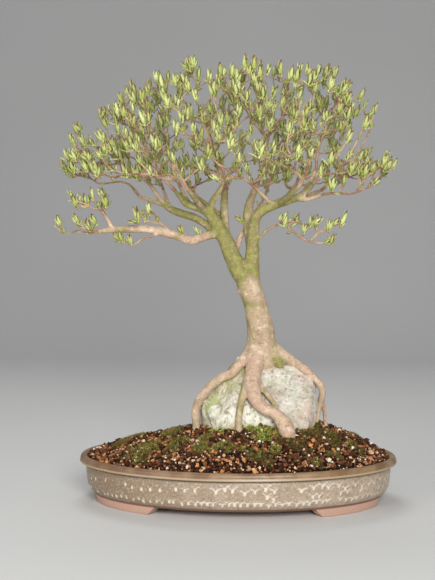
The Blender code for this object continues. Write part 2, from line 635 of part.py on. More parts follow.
def plan_shoot(joints, tip, rng):
    """A shoot from the best placed joint of the spray's wood to a bud with its tip at tip."""
    way = bud_way(tip, rng)
    base = tip - way * BUD_LENGTH
    best = None
    for point, along, radius in joints:
        step = base - point
        length = step.length
        if length < 5 or step.normalized().dot(way) < SHARPEST_TURN:
            continue
        heading = step.normalized()
        cost = length * (1.5 - PREFER_AHEAD * heading.dot(along) - PREFER_UP * heading.z)
        if best is None or cost < best[0]:
            best = (cost, point, along, radius)
    if best is None:
        return None
    _, root, along, radius = best
    length = (base - root).length
    bow = along * length * SHOOT_BOW - Vector((0, 0, SHOOT_SAG * length))
    waver = Vector((rng.uniform(-1, 1), rng.uniform(-1, 1), rng.uniform(-1, 1))) * SHOOT_SAG * length
    thick = min(radius * 0.88, SHOOT_RADIUS + length * 0.006)
    route = [(*root, thick)]
    if length > LONG_SHOOT:
        route.append((*(root.lerp(base, 0.33) + bow + waver), thick * 0.95))
        route.append((*(root.lerp(base, 0.68) + bow * 0.4 - waver), thick * 0.88))
    elif length > SHORT_SHOOT:
        route.append((*(root.lerp(base, 0.5) + bow + waver * 0.7), thick * 0.93))
    route.append((*base, SHOOT_RADIUS * 0.85))
    turn = rng.uniform(0, math.pi)
    return route, way, turn, rng.uniform(0.86, 1.08)


def leaflet_ways(way, turn):
    """The direction of each leaflet of a bud: the middle one and a pair that opens to the sides."""
    side = way.orthogonal().normalized()
    side = Matrix.Rotation(turn, 3, way) @ side
    up = way.cross(side)
    apart = (side + up).normalized()
    return side, up, apart


def leaflet_axis(way, aside):
    """Which way a side leaflet points."""
    return (way * 0.9 + aside * BUD_OPENING).normalized()


def shoot_stretches(route, way, turn, size):
    apart = leaflet_ways(way, turn)[2]
    base = Vector(route[-1][:3])
    found = stretches_of(route)
    reach = BUD_LENGTH * size
    found.append((tuple(base), tuple(base + way * reach), BUD_WIDTH * 0.45))
    for sign in (1, -1):
        tip = base + way * 2 + leaflet_axis(way, apart * sign) * reach * 0.75
        found.append((tuple(base), tuple(tip), BUD_WIDTH * 0.4))
    return found


def add_leaflet(bm, ring, axis, across, face, length, width, depth):
    """A blade drawn out of four points: full width before the middle, then to a point."""
    middle = sum((vert.co for vert in ring), Vector()) / 4 + axis * length * 0.4
    corners = ((-1, 1), (1, 1), (1, -1), (-1, -1))
    belly = [bm.verts.new(middle + across * a * width / 2 + face * b * depth / 2) for a, b in corners]
    tip = bm.verts.new(middle + axis * length * 0.6)
    bridge(bm, ring, belly)
    for step in range(4):
        bm.faces.new((belly[step], belly[(step + 1) % 4], tip))


def shoot_mesh(route, way, turn, size):
    """A twig of four sides that ends in an opening bud of three leaflets."""
    bm = bmesh.new()
    side, up, apart = leaflet_ways(way, turn)
    points = [Vector(point[:3]) for point in route]
    rings = []
    local_side = side
    stations = [(points[-1] + way * BUD_CUP, way, BUD_DEPTH * 0.75), (points[-1], way, route[-1][3])]
    for index in range(len(points) - 2, -1, -1):
        along = (points[index + 1] - points[max(index - 1, 0)]).normalized()
        stations.append((points[index], along, route[index][3]))
    for point, along, radius in stations:
        local_side = (local_side - along * local_side.dot(along)).normalized()
        local_up = along.cross(local_side)
        corners = (local_side, local_up, -local_side, -local_up)
        rings.append([bm.verts.new(point + corner * radius) for corner in corners])
    rings.reverse()
    for lower, upper in zip(rings[:-2], rings[1:-1]):
        bridge(bm, lower, upper)
    bm.faces.new(rings[0][::-1])
    neck, head = rings[-2:]
    for step in (1, 3):
        following = (step + 1) % 4
        bm.faces.new((neck[step], neck[following], head[following], head[step]))
    length = BUD_LENGTH * size
    tip = bm.verts.new(points[-1] + way * length)
    for step in range(4):
        bm.faces.new((head[step], head[(step + 1) % 4], tip))
    for step, sign in ((0, 1), (2, -1)):
        following = (step + 1) % 4
        ring = (neck[step], neck[following], head[following], head[step])
        axis = leaflet_axis(way, apart * sign)
        across = way.cross(apart * sign).normalized()
        face = across.cross(axis).normalized()
        add_leaflet(bm, ring, axis, across, face, length * 0.78, BUD_WIDTH * 0.9, BUD_DEPTH * 0.6)
    return bm


def joints_of(route, first=0):
    """Places on a route where shoots can grow: its points and the middles between them."""
    found = []
    for number, (start, end) in enumerate(zip(route, route[1:])):
        low, high = Vector(start[:3]), Vector(end[:3])
        along = (high - low).normalized()
        if number >= first:
            found.append((low.lerp(high, 0.5), along, (start[3] + end[3]) / 2))
            found.append((high - along * 0.5, along, end[3]))
    return found


def spray_twigs(name):
    """The spray's stem, from just past the cut end of its limb, with its hand-led twigs."""
    limb = WOOD[name]
    tip, behind = Vector(limb[-1][:3]), Vector(limb[-2][:3])
    along = (tip - behind).normalized()
    radius = limb[-1][3]
    start = (*(tip + along * GAP), radius)
    straight = (*(tip + along * 4), radius * 0.94)
    twigs = [(start, straight, *TWIGS[name][0])]
    for twig in TWIGS[name][1:]:
        root = min(twigs[0][1:], key=lambda point: (Vector(point[:3]) - Vector(twig[0][:3])).length)
        twigs.append(((*root[:3], root[3] * 0.85), *twig))
    return twigs


def plan_sprays():
    """Every spray's twigs and shoots. Each crown tip goes to the spray that starts nearest to it."""
    rng = random.Random(SEED)
    reach = Reach()
    for route in WOOD.values():
        reach.add("wood", stretches_of(route))
    twigs = {name: spray_twigs(name) for name in TWIGS}
    for name, routes in twigs.items():
        for route in routes:
            reach.add(name, stretches_of(route)[1 if route is routes[0] else 0:])
    tips = {name: [Vector(tip) for tip in BUD_TIPS.get(name, ())] for name in TWIGS}
    crown = [name for name in TWIGS if not name.startswith("low") and name != "right_low"]
    ends = {name: Vector(twigs[name][0][-1][:3]) for name in crown}
    for tip in crown_tips(rng):
        near = min(crown, key=lambda name: (ends[name] - tip).length)
        tips[near].append(tip)
    shoots = {name: [] for name in TWIGS}
    for name, wanted in tips.items():
        start = Vector(twigs[name][0][0][:3])
        joints = []
        for number, route in enumerate(twigs[name]):
            joints.extend(joints_of(route, 1 if number == 0 else 0))
        wanted.sort(key=lambda tip: (tip - start).length)
        for tip in wanted:
            for attempt in range(PLACING_TRIES):
                shift = Vector((rng.uniform(-1, 1), rng.uniform(-1, 1), rng.uniform(-1, 0.2)))
                plan = plan_shoot(joints, tip + shift * attempt * 0.9, rng)
                if plan is None:
                    continue
                stretches = shoot_stretches(*plan)
                if reach.clear(name, stretches):
                    shoots[name].append(plan)
                    reach.add(name, stretches)
                    joints.extend(joints_of(plan[0]))
                    break
    return twigs, shoots


def make_spray(name, twigs, shoots, group):
    """One leafy spray, its twigs and shoots joined to one body."""
    repeats = new_collection("shoots")
    spray = None
    for route in twigs:
        bm = bmesh.new()
        tube(bm, route, 4)
        if spray is None:
            spray = mesh_object("spray_" + name, bm, group)
        else:
            mesh_object("twig", bm, repeats)
    for plan in shoots:
        mesh_object("shoot", shoot_mesh(*plan), repeats)
    combine(spray, repeats, "UNION", "MANIFOLD")
    keep_largest(spray)
    return spray


def place_in_world(group):
    """Millimetres about the pot's middle become metres about the part's."""
    scale = Matrix.Diagonal((MM, MM, MM, 1.0)) @ Matrix.Translation((POT_CENTRE_X, 0, 0))
    for piece in group.objects:
        piece.data.transform(scale)


def build():
    clear_scene()
    part = new_collection("amur_maple_bonsai", helpers=False)
    cutters = new_collection("cutters")
    pot = make_pot(part)
    paint(pot, "glazed stoneware", (0.42, 0.38, 0.27), 0.45)
    for side, x in (("left", -DRAIN_X), ("right", DRAIN_X)):
        screen = make_screen("drain_screen_" + side, x, part)
        paint(screen, "plastic mesh " + side, (0.03, 0.03, 0.03), 0.6)
        bm = bmesh.new()
        tube(bm, clip_route(x), 6)
        clip = mesh_object("screen_clip_" + side, bm, part)
        paint(clip, "clip wire " + side, (0.35, 0.22, 0.12), 0.4)

    rock = mesh_object("rock", rock_mesh(), part)
    root_cutters(cutters)
    combine(rock, cutters, "DIFFERENCE")
    keep_largest(rock)
    paint(rock, "pale stone", (0.62, 0.6, 0.55), 0.9)

    soil = make_soil(part)
    root_cutters(cutters)
    mesh_object("hollow", rock_mesh(GAP + 0.2), cutters)
    for x in (-DRAIN_X, DRAIN_X):
        bm = bmesh.new()
        bmesh.ops.create_cube(bm, size=SCREEN_SIZE + 2 * GAP)
        top = FLOOR_TOP + SCREEN_THICKNESS + 2 * CLIP_WIRE + 3 * GAP
        bmesh.ops.translate(bm, vec=(x, 0, top - SCREEN_SIZE / 2 - GAP), verts=bm.verts)
        mesh_object("recess", bm, cutters)
    combine(soil, cutters, "DIFFERENCE")
    keep_largest(soil)
    paint(soil, "soil mix", (0.16, 0.09, 0.05), 0.95)

    trunk = make_wood(part)
    paint(trunk, "maple bark", (0.4, 0.3, 0.2), 0.8)
    twigs, shoots = plan_sprays()
    for name in TWIGS:
        spray = make_spray(name, twigs[name], shoots[name], part)
        paint(spray, "leaf buds " + name, (0.42, 0.5, 0.16), 0.6)
    place_in_world(part)
    for group in list(bpy.data.collections):
        if group != part and not group.objects:
            bpy.data.collections.remove(group)


build()
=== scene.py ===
"""The looks of an amur maple bonsai that grows over a rock in an oval stoneware pot."""
import math
import random

import bmesh
import bpy
import numpy as np
from mathutils import Matrix, Vector, bvhtree, noise


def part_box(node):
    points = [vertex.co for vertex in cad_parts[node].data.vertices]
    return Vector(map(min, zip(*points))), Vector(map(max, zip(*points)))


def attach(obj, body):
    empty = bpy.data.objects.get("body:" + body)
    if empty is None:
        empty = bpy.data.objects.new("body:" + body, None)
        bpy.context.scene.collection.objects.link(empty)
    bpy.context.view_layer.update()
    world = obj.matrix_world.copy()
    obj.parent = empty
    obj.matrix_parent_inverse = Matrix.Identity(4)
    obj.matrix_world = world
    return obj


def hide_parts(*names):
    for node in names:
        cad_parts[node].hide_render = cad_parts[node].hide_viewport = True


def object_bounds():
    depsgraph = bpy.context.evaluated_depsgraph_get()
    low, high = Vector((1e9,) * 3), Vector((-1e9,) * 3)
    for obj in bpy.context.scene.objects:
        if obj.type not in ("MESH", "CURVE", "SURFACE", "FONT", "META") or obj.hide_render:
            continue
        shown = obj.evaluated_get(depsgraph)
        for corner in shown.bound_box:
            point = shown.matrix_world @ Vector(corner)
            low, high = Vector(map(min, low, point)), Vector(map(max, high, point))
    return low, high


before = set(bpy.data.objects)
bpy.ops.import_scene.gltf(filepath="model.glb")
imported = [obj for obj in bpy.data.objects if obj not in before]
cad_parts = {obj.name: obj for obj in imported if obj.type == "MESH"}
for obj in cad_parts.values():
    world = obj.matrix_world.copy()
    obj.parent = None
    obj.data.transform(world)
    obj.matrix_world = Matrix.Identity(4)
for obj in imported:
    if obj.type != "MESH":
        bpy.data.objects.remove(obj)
cad_low, cad_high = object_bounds()

# The room: a sweep of pale paper to stand on, one broad soft light from the front right, weaker ones from the
# left and from above, and a camera a little above the pot, where the photographer stood.
PHOTO_HEIGHT = 580
FOCAL_PIXELS = 1000.0
CAMERA_PLACE = (0.063, -1.42, 0.337)
LOOK_LEFT_PIXELS = 53.8
LOOK_DOWN_PIXELS = 28.0
SWEEP_HALF = 3.2
SWEEP_HEIGHT = 3.0
SWEEP_FOLD = 1.2
LIGHTS_AIM = (0, 0, 0.3)


def add(tree, kind, settings=None, **inputs):
    """Adds a shader node. Each input is given a number, a colour or another node's output."""
    made = tree.nodes.new("ShaderNode" + kind)
    for key, value in (settings or {}).items():
        setattr(made, key, value)
    for key, value in inputs.items():
        feed(tree, made.inputs[key.replace("_", " ")], value)
    return made


def feed(tree, socket, value):
    if isinstance(value, bpy.types.NodeSocket):
        tree.links.new(value, socket)
    elif hasattr(value, "__len__") and len(value) == 3 and socket.type == "RGBA":
        socket.default_value = (*value, 1.0)
    else:
        socket.default_value = value


def new_finish(name, roughness, gloss=0.5):
    """A Principled material. Returns it with its node tree and shader."""
    finish = bpy.data.materials.new(name)
    finish.use_nodes = True
    shader = finish.node_tree.nodes["Principled BSDF"]
    shader.inputs["Roughness"].default_value = roughness
    shader.inputs["Specular IOR Level"].default_value = gloss
    return finish, finish.node_tree, shader


def place_of(tree):
    return add(tree, "TexCoord").outputs["Object"]


def mottle(tree, place, size, detail=3.0):
    """Soft noise with patches of about the given size in metres, from 0 to 1."""
    return add(tree, "TexNoise", Vector=place, Scale=0.6 / size, Detail=detail).outputs["Fac"]


def mixed(tree, share, under, over):
    """The colour under, with share of the colour over."""
    made = add(tree, "Mix", {"data_type": "RGBA"})
    feed(tree, made.inputs[0], share)
    feed(tree, made.inputs[6], under)
    feed(tree, made.inputs[7], over)
    return made.outputs[2]


def linked(name, data):
    """A new object in the scene that shows the data."""
    made = bpy.data.objects.new(name, data)
    bpy.context.scene.collection.objects.link(made)
    return made


def add_light(name, place, size, power):
    light = bpy.data.lights.new(name, "AREA")
    light.shape = "DISK"
    light.size = size
    light.energy = power
    lamp = linked(name, light)
    lamp.location = place
    lamp.rotation_euler = (Vector(LIGHTS_AIM) - Vector(place)).to_track_quat("-Z", "Y").to_euler()


camera_data = bpy.data.cameras.new("camera")
camera_data.lens = camera_data.sensor_width * FOCAL_PIXELS / PHOTO_HEIGHT
camera = linked("camera", camera_data)
camera.location = CAMERA_PLACE
camera.rotation_euler = (
    math.pi / 2 - math.atan(LOOK_DOWN_PIXELS / FOCAL_PIXELS), 0, math.atan(LOOK_LEFT_PIXELS / FOCAL_PIXELS)
)
bpy.context.scene.camera = camera

bpy.context.scene.view_settings.view_transform = "Standard"
add_light("key light", (0.45, -2.15, 0.95), 0.9, 48)
add_light("fill light", (-1.6, -1.7, 0.8), 1.4, 15)
add_light("top light", (-0.3, 0.9, 2.2), 1.2, 14)
room_light = bpy.data.worlds.new("room light")
room_light.use_nodes = True
room_light.node_tree.nodes["Background"].inputs["Color"].default_value = (0.9, 0.95, 1.0, 1.0)
room_light.node_tree.nodes["Background"].inputs["Strength"].default_value = 0.3
bpy.context.scene.world = room_light

sweep = bmesh.new()
bmesh.ops.create_grid(sweep, x_segments=1, y_segments=1, size=SWEEP_HALF)
far_edge = max(sweep.edges, key=lambda edge: sum(vert.co.y for vert in edge.verts))
raised = bmesh.ops.extrude_edge_only(sweep, edges=[far_edge])["geom"]
bmesh.ops.translate(
    sweep, vec=(0, 0, SWEEP_HEIGHT), verts=[part for part in raised if isinstance(part, bmesh.types.BMVert)]
)
bmesh.ops.bevel(
    sweep, geom=[far_edge], offset=SWEEP_FOLD, segments=16, profile=0.5, affect="EDGES", material=-1
)
for face in sweep.faces:
    face.smooth = True
sweep_mesh = bpy.data.meshes.new("paper_sweep")
sweep.to_mesh(sweep_mesh)
sweep.free()
paper, tree, shader = new_finish("pale paper", 0.9)
grain = mottle(tree, place_of(tree), 0.3)
feed(tree, shader.inputs["Base Color"], mixed(tree, grain, (0.62, 0.61, 0.59), (0.66, 0.65, 0.63)))
sweep_mesh.materials.append(paper)
floor = linked("paper_sweep", sweep_mesh)

# The pot: an oval tray of stoneware pressed in a mould, with a rolled lip and four cut feet. Its oatmeal
# glaze ran in the firing and hung in rows of cream drops. The feet and the underside are bare pinkish clay.
MM = 0.001
pot_low, pot_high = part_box("pot")
HALF_LENGTH = (pot_high.x - pot_low.x) / 2 / MM
HALF_DEPTH = (pot_high.y - pot_low.y) / 2 / MM
POT_HEIGHT = pot_high.z / MM
TO_FRAME = Matrix.Translation(((pot_low.x + pot_high.x) / 2, 0, 0)) @ Matrix.Scale(MM, 4)
LIP_OVERHANG = 9.0
LIP_BOTTOM = POT_HEIGHT - 11.0
WALL = 8.0
FOOT_HEIGHT = 10.0
FLOOR_TOP = 18.0
POT_SIDES = 640
BODY_PITCH = 1.5
LIP_PITCH = 1.3
FOOT_INSET = 20.0
FOOT_WIDTH = 18.0
FOOT_ANGLES = (12.0, 59.0)
FOOT_SLANT = 4.0
FOOT_BAR_LENGTH = 150.0
DRAIN_X = 105.0
DRAIN_RADIUS = 11.0
DRAIN_SIDES = 40
DRILL_LENGTH = 30
GLAZE_SEED = 11
# Each row of drops: its height, the pitch, how far heights waver, the share that formed at the pot's left end
# and at its right end, and how far the arms climb. A share below 0 is none.
DROP_ROWS = (
    (21.5, 9.6, 1.5, 0.94, 0.94, 4.5),
    (39.0, 13.5, 3.2, 0.35, 1.15, 7.0),
    (30.0, 11.0, 2.5, -0.75, 0.9, 6.0),
)
DROP_RISE = 0.9


def smooth_line(points, per_span):
    """A flowing line through the points, which may hold a radius as well as a place."""
    points = np.array(points, float)
    padded = np.vstack([2 * points[0] - points[1], points, 2 * points[-1] - points[-2]])
    line = []
    for span in range(len(points) - 1):
        before, start, end, after = padded[span:span + 4]
        for step in range(per_span):
            t = step / per_span
            line.append(0.5 * (
                2 * start + (end - before) * t + (2 * before - 5 * start + 4 * end - after) * t ** 2
                + (3 * start - before - 3 * end + after) * t ** 3
            ))
    line.append(points[-1])
    return np.array(line)


def evenly(line, pitch):
    """The same line with its points spaced by about the pitch."""
    lengths = np.concatenate([[0], np.cumsum(np.linalg.norm(np.diff(line, axis=0), axis=1))])
    stations = np.linspace(0, lengths[-1], max(2, round(lengths[-1] / pitch) + 1))
    return np.stack([np.interp(stations, lengths, line[:, part]) for part in range(line.shape[1])], axis=1)


def finished_mesh(name, bm, crease=40.0):
    """Shades a bmesh smooth but for its creases, and returns it as a mesh."""
    for face in bm.faces:
        face.smooth = True
    for edge in bm.edges:
        if len(edge.link_faces) == 2 and edge.calc_face_angle(0) > math.radians(crease):
            edge.smooth = False
    mesh = bpy.data.meshes.new(name)
    bm.to_mesh(mesh)
    bm.free()
    return mesh


def carry(mesh, key, values):
    """Gives each point of the mesh a value of its own."""
    mesh.attributes.new(key, "FLOAT", "POINT").data.foreach_set("value", values.astype(np.float32))


def show(name, mesh, finish, slot, *stands_for):
    """Puts a piece in the frame, where its millimetres become metres, and has it ride on the body."""
    mesh.transform(TO_FRAME)
    mesh.materials.clear()
    mesh.materials.append(finish)
    piece = linked(name, mesh)
    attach(piece, "root")
    if stands_for:
        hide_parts(*stands_for)


def as_shown(holder):
    """The mesh that an object shows once its modifiers have run. The object goes."""
    graph = bpy.context.evaluated_depsgraph_get()
    mesh = bpy.data.meshes.new_from_object(holder.evaluated_get(graph))
    bpy.data.objects.remove(holder)
    return mesh


def with_modifier(mesh, kind, settings):
    """The mesh as a modifier leaves it."""
    holder = linked("holder", mesh)
    modifier = holder.modifiers.new(kind.lower(), kind)
    for key, value in settings.items():
        setattr(modifier, key, value)
    return as_shown(holder)


def joined(mesh, others, operation):
    """The mesh with the other one joined on or cut out of it."""
    tool = linked("tool", others)
    changed = with_modifier(mesh, "BOOLEAN", {"operation": operation, "object": tool, "solver": "MANIFOLD"})
    bpy.data.objects.remove(tool)
    return changed


def way_round(x, y):
    """The distance round the pot's oval from its left end, for arrays of places, and the whole way round."""
    angles = np.linspace(-math.pi, math.pi, 1441)
    steps = np.hypot(HALF_LENGTH * np.sin(angles), HALF_DEPTH * np.cos(angles)) * (angles[1] - angles[0])
    lengths = np.concatenate([[0], np.cumsum((steps[1:] + steps[:-1]) / 2)])
    return np.interp(np.arctan2(y / HALF_DEPTH, x / HALF_LENGTH), angles, lengths), lengths[-1]


def clamped(value, least=0.0, most=1.0):
    return min(most, max(least, value))


def glaze_drops(x, y, z):
    """How thick the glaze hangs at each place, from 0 to 1: beads with two thin arms that rise from each."""
    rng = random.Random(GLAZE_SEED)
    round_pot, length = way_round(x, y)
    thick = np.zeros(len(x))
    for row_height, pitch, waver, share_left, share_right, highest in DROP_ROWS:
        for number in range(int(length / pitch)):
            middle = (number + rng.uniform(-0.22, 0.22)) * pitch
            rightward = 1 - abs(2 * middle / length - 1)
            height = row_height + rng.uniform(-waver, waver)
            bead = rng.uniform(1.3, 2.2) * (1 - 0.4 * max(0.0, rightward - 0.55) / 0.45)
            spread = [rng.uniform(0.35, 0.65) * pitch, rng.uniform(0.35, 0.65) * pitch]
            climb = rng.uniform(0.35, 1.0) * highest
            arm = 0.5 + 0.5 * clamped((rightward - 0.3) / 0.15)
            if rng.random() > share_left + (share_right - share_left) * rightward:
                continue
            aside = (round_pot - middle + length / 2) % length - length / 2
            near = np.nonzero((np.abs(aside) < pitch) & (np.abs(z - height) < 12))[0]
            across, up = aside[near], z[near] - height
            drop = np.exp(-((across / bead) ** 2 + (up / (bead * 1.25)) ** 2) ** 1.5)
            for sign, reach in zip((1, -1), spread):
                part = np.clip((across * sign * reach + (up - 1) * climb) / (reach ** 2 + climb ** 2), 0, 1)
                arch = climb * part + 1.2 * np.sin(part * math.pi)
                off = np.hypot(across - sign * reach * part, up - 1 - arch)
                drop = np.maximum(drop, np.exp(-(off / 1.2) ** 2) * arm * (1 - 0.4 * part))
            thick[near] = np.maximum(thick[near], drop * (1 - 0.45 * max(0.0, rightward - 0.7) / 0.3))
    return thick


def foot_bar(along, across):
    """One foot: a bar with softened edges, bent to the oval and narrowed towards its ends."""
    first, last = (math.radians(angle) for angle in FOOT_ANGLES)
    slant = math.radians(FOOT_SLANT)
    bar = bmesh.new()
    bmesh.ops.create_cube(bar, size=1)
    lengthwise = [edge for edge in bar.edges if abs(edge.verts[0].co.x - edge.verts[1].co.x) > 0.5]
    bmesh.ops.subdivide_edges(bar, edges=lengthwise, cuts=23)
    bmesh.ops.scale(bar, vec=(FOOT_BAR_LENGTH, FOOT_WIDTH, FOOT_HEIGHT + 3), verts=bar.verts)
    corners = [edge for edge in bar.edges if edge.calc_face_angle(0) > 1]
    bmesh.ops.bevel(bar, geom=corners, offset=1.4, segments=3, profile=0.5, affect="EDGES", material=-1)
    for vert in bar.verts:
        part, aside, up = vert.co.x / FOOT_BAR_LENGTH + 0.5, vert.co.y, vert.co.z + (FOOT_HEIGHT + 3) / 2
        drawn_in = 1 - up / (FOOT_HEIGHT + 3)
        angle = first + slant * drawn_in + (last - first - 2 * slant * drawn_in) * part
        inset = FOOT_INSET + FOOT_WIDTH / 2 - aside * (1 - 0.22 * drawn_in)
        vert.co = (along * (HALF_LENGTH - inset) * math.cos(angle),
                   across * (HALF_DEPTH - inset) * math.sin(angle), up)
    bmesh.ops.recalc_face_normals(bar, faces=bar.faces)
    return bar


outside, inside = LIP_OVERHANG, LIP_OVERHANG + WALL
belly = ((outside + 17, FOOT_HEIGHT), (outside + 12, FOOT_HEIGHT + 1.6), (outside + 6.4, FOOT_HEIGHT + 6.4),
         (outside + 2.5, FOOT_HEIGHT + 14), (outside + 0.6, LIP_BOTTOM - 16), (outside, LIP_BOTTOM - 5),
         (outside + 1.2, LIP_BOTTOM - 1.2))
lip = ((outside - 0.6, LIP_BOTTOM - 0.2), (2.4, LIP_BOTTOM + 0.4), (0.3, LIP_BOTTOM + 1.7),
       (0, LIP_BOTTOM + 3), (0.9, LIP_BOTTOM + 4.3), (1.1, LIP_BOTTOM + 7.4), (2.6, POT_HEIGHT - 1),
       (5, POT_HEIGHT), (7.6, POT_HEIGHT - 0.2), (10, POT_HEIGHT - 1.2), (11.2, POT_HEIGHT - 3.4))
hollow = ((inside, LIP_BOTTOM + 1), (inside + 2, FLOOR_TOP + 14), (inside + 9, FLOOR_TOP + 4),
          (inside + 20, FLOOR_TOP))
profile = np.vstack([
    evenly(smooth_line(belly, 8), BODY_PITCH), evenly(smooth_line(lip, 6), LIP_PITCH), smooth_line(hollow, 2)
])
bowl = bmesh.new()
ring = bmesh.ops.create_circle(bowl, segments=POT_SIDES, radius=1)["verts"]
edges = list(bowl.edges)
bmesh.ops.scale(bowl, vec=(HALF_LENGTH - profile[0][0], HALF_DEPTH - profile[0][0], 1), verts=ring)
bmesh.ops.translate(bowl, vec=(0, 0, profile[0][1]), verts=ring)
bmesh.ops.contextual_create(bowl, geom=edges)
for (inset, height), (next_inset, next_height) in zip(profile, profile[1:]):
    grown = bmesh.ops.extrude_edge_only(bowl, edges=edges)["geom"]
    ring = [part for part in grown if isinstance(part, bmesh.types.BMVert)]
    edges = [part for part in grown if isinstance(part, bmesh.types.BMEdge)]
    longer = (HALF_LENGTH - next_inset) / (HALF_LENGTH - inset)
    deeper = (HALF_DEPTH - next_inset) / (HALF_DEPTH - inset)
    bmesh.ops.scale(bowl, vec=(longer, deeper, 1), verts=ring)
    bmesh.ops.translate(bowl, vec=(0, 0, next_height - height), verts=ring)
bmesh.ops.contextual_create(bowl, geom=edges)
bmesh.ops.recalc_face_normals(bowl, faces=bowl.faces)
wall = [vert for vert in bowl.verts if FOOT_HEIGHT + 4 < vert.co.z < LIP_BOTTOM - 1
        and math.hypot(vert.co.x / (HALF_LENGTH - inside + 2), vert.co.y / (HALF_DEPTH - inside + 2)) > 1]
drops = glaze_drops(*np.array([vert.co for vert in wall]).T)
for vert, drop in zip(wall, drops):
    outward = Vector((vert.co.x / HALF_LENGTH ** 2, vert.co.y / HALF_DEPTH ** 2, 0)).normalized()
    vert.co += outward * drop * DROP_RISE
pot_mesh = finished_mesh("bowl", bowl)
for along in (1, -1):
    for across in (1, -1):
        pot_mesh = joined(pot_mesh, finished_mesh("foot", foot_bar(along, across)), "UNION")
for drain in (-DRAIN_X, DRAIN_X):
    drill = bmesh.new()
    bmesh.ops.create_cone(
        drill, cap_ends=True, segments=DRAIN_SIDES, radius1=DRAIN_RADIUS, radius2=DRAIN_RADIUS,
        depth=DRILL_LENGTH, matrix=Matrix.Translation((drain, 0, FLOOR_TOP - 4))
    )
    pot_mesh = joined(pot_mesh, finished_mesh("drill", drill), "DIFFERENCE")
pot_places = np.array([vert.co for vert in pot_mesh.vertices])
carry(pot_mesh, "glaze", glaze_drops(*pot_places.T))


def rise(tree, value, low, high):
    """0 below low, 1 above high, and a soft step between them."""
    settings = {"interpolation_type": "SMOOTHSTEP"}
    made = add(tree, "MapRange", settings, Value=value, From_Min=low, From_Max=high)
    return made.outputs["Result"]


def maths(tree, operation, *values):
    made = add(tree, "Math", {"operation": operation})
    for socket, value in zip(made.inputs, values):
        feed(tree, socket, value)
    return made.outputs[0]


def product(tree, first, second):
    return maths(tree, "MULTIPLY", first, second)


def tinted(tree, colour, value, low, high, share, over):
    """The colour, with up to share of another laid over it where value goes from low to high."""
    return mixed(tree, product(tree, rise(tree, value, low, high), share), colour, over)


def own_value(tree, key):
    """A value that each point of the mesh carries."""
    return add(tree, "Attribute", {"attribute_name": key}).outputs["Fac"]


def vary_roughness(tree, shader, value, low, high):
    spread = add(tree, "MapRange", Value=value, To_Min=low, To_Max=high)
    feed(tree, shader.inputs["Roughness"], spread.outputs["Result"])


def coat(tree, shader, colour, height, depth):
    """The colour of a finish, and its bumps of up to the given depth in metres."""
    feed(tree, shader.inputs["Base Color"], colour)
    bump = add(tree, "Bump", Height=height, Distance=depth)
    tree.links.new(bump.outputs["Normal"], shader.inputs["Normal"])


glaze, tree, shader = new_finish("oatmeal glaze", 0.42)
place = place_of(tree)
height = add(tree, "SeparateXYZ", Vector=place).outputs["Z"]
thick = own_value(tree, "glaze")
crackle = add(tree, "TexVoronoi", {"feature": "DISTANCE_TO_EDGE"}, Vector=place, Scale=420.0)
cells = crackle.outputs["Distance"]
fine = mottle(tree, place, 0.0016, 4.0)
broad = mottle(tree, place, 0.012, 5.0)
# The pot's left end, body and lip alike, is painted darker: painted shade where the light falls off.
painted_shade_at_left_end = rise(tree, add(tree, "SeparateXYZ", Vector=place).outputs["X"], 0.04, -0.18)
body = mixed(tree, rise(tree, broad, 0.3, 0.72), (0.35, 0.257, 0.178), (0.43, 0.34, 0.252))
body = mixed(tree, product(tree, painted_shade_at_left_end, 0.75), body, (0.205, 0.125, 0.062))
body = tinted(tree, body, fine, 0.52, 0.70, 0.6, (0.60, 0.52, 0.42))
body = tinted(tree, body, fine, 0.46, 0.28, 0.75, (0.20, 0.135, 0.09))
body = tinted(tree, body, cells, 0.05, 0.0, 0.35, (0.21, 0.15, 0.10))
body = mixed(tree, rise(tree, thick, 0.15, 0.65), body, (0.70, 0.62, 0.49))
lip_colour = mixed(tree, rise(tree, broad, 0.3, 0.7), (0.185, 0.10, 0.044), (0.30, 0.19, 0.10))
lip_colour = tinted(tree, lip_colour, fine, 0.4, 0.28, 0.6, (0.10, 0.055, 0.028))
lip_colour = mixed(tree, product(tree, painted_shade_at_left_end, 0.4), lip_colour, (0.16, 0.075, 0.04))
# A painted highlight lies pale over the bead at the lip's lower edge, and the corner under it is painted
# dark: partly pooled glaze, partly painted shade.
painted_highlight_on_bead = product(tree, rise(tree, height, (LIP_BOTTOM + 4.6) * MM, (LIP_BOTTOM + 3) * MM), 0.75)
lip_colour = mixed(tree, painted_highlight_on_bead, lip_colour, (0.47, 0.35, 0.22))
corner = rise(tree, height, (LIP_BOTTOM + 1.2) * MM, (LIP_BOTTOM + 0.4) * MM)
lip_colour = mixed(tree, product(tree, corner, 0.85), lip_colour, (0.07, 0.035, 0.018))
body = mixed(tree, rise(tree, height, (LIP_BOTTOM - 2.4) * MM, (LIP_BOTTOM - 1) * MM), body, lip_colour)
glaze_edge = rise(tree, height, (FOOT_HEIGHT + 6.2) * MM, (FOOT_HEIGHT + 4.6) * MM)
body = mixed(tree, product(tree, glaze_edge, 0.7), body, (0.16, 0.06, 0.035))
clay = mixed(tree, fine, (0.43, 0.25, 0.18), (0.54, 0.35, 0.26))
# The clay where the belly turns under, above the feet, is painted dark: painted shade on the underside.
under = rise(tree, height, (FOOT_HEIGHT + 0.4) * MM, (FOOT_HEIGHT + 1.4) * MM)
clay = mixed(tree, product(tree, under, 0.8), clay, (0.19, 0.085, 0.06))
bare = rise(tree, height, (FOOT_HEIGHT + 4.6) * MM, (FOOT_HEIGHT + 3.6) * MM)
coat(tree, shader, mixed(tree, bare, body, clay), fine, 0.0002)
vary_roughness(tree, shader, bare, 0.38, 0.9)
show("oval_pot", pot_mesh, glaze, "pot", "pot")

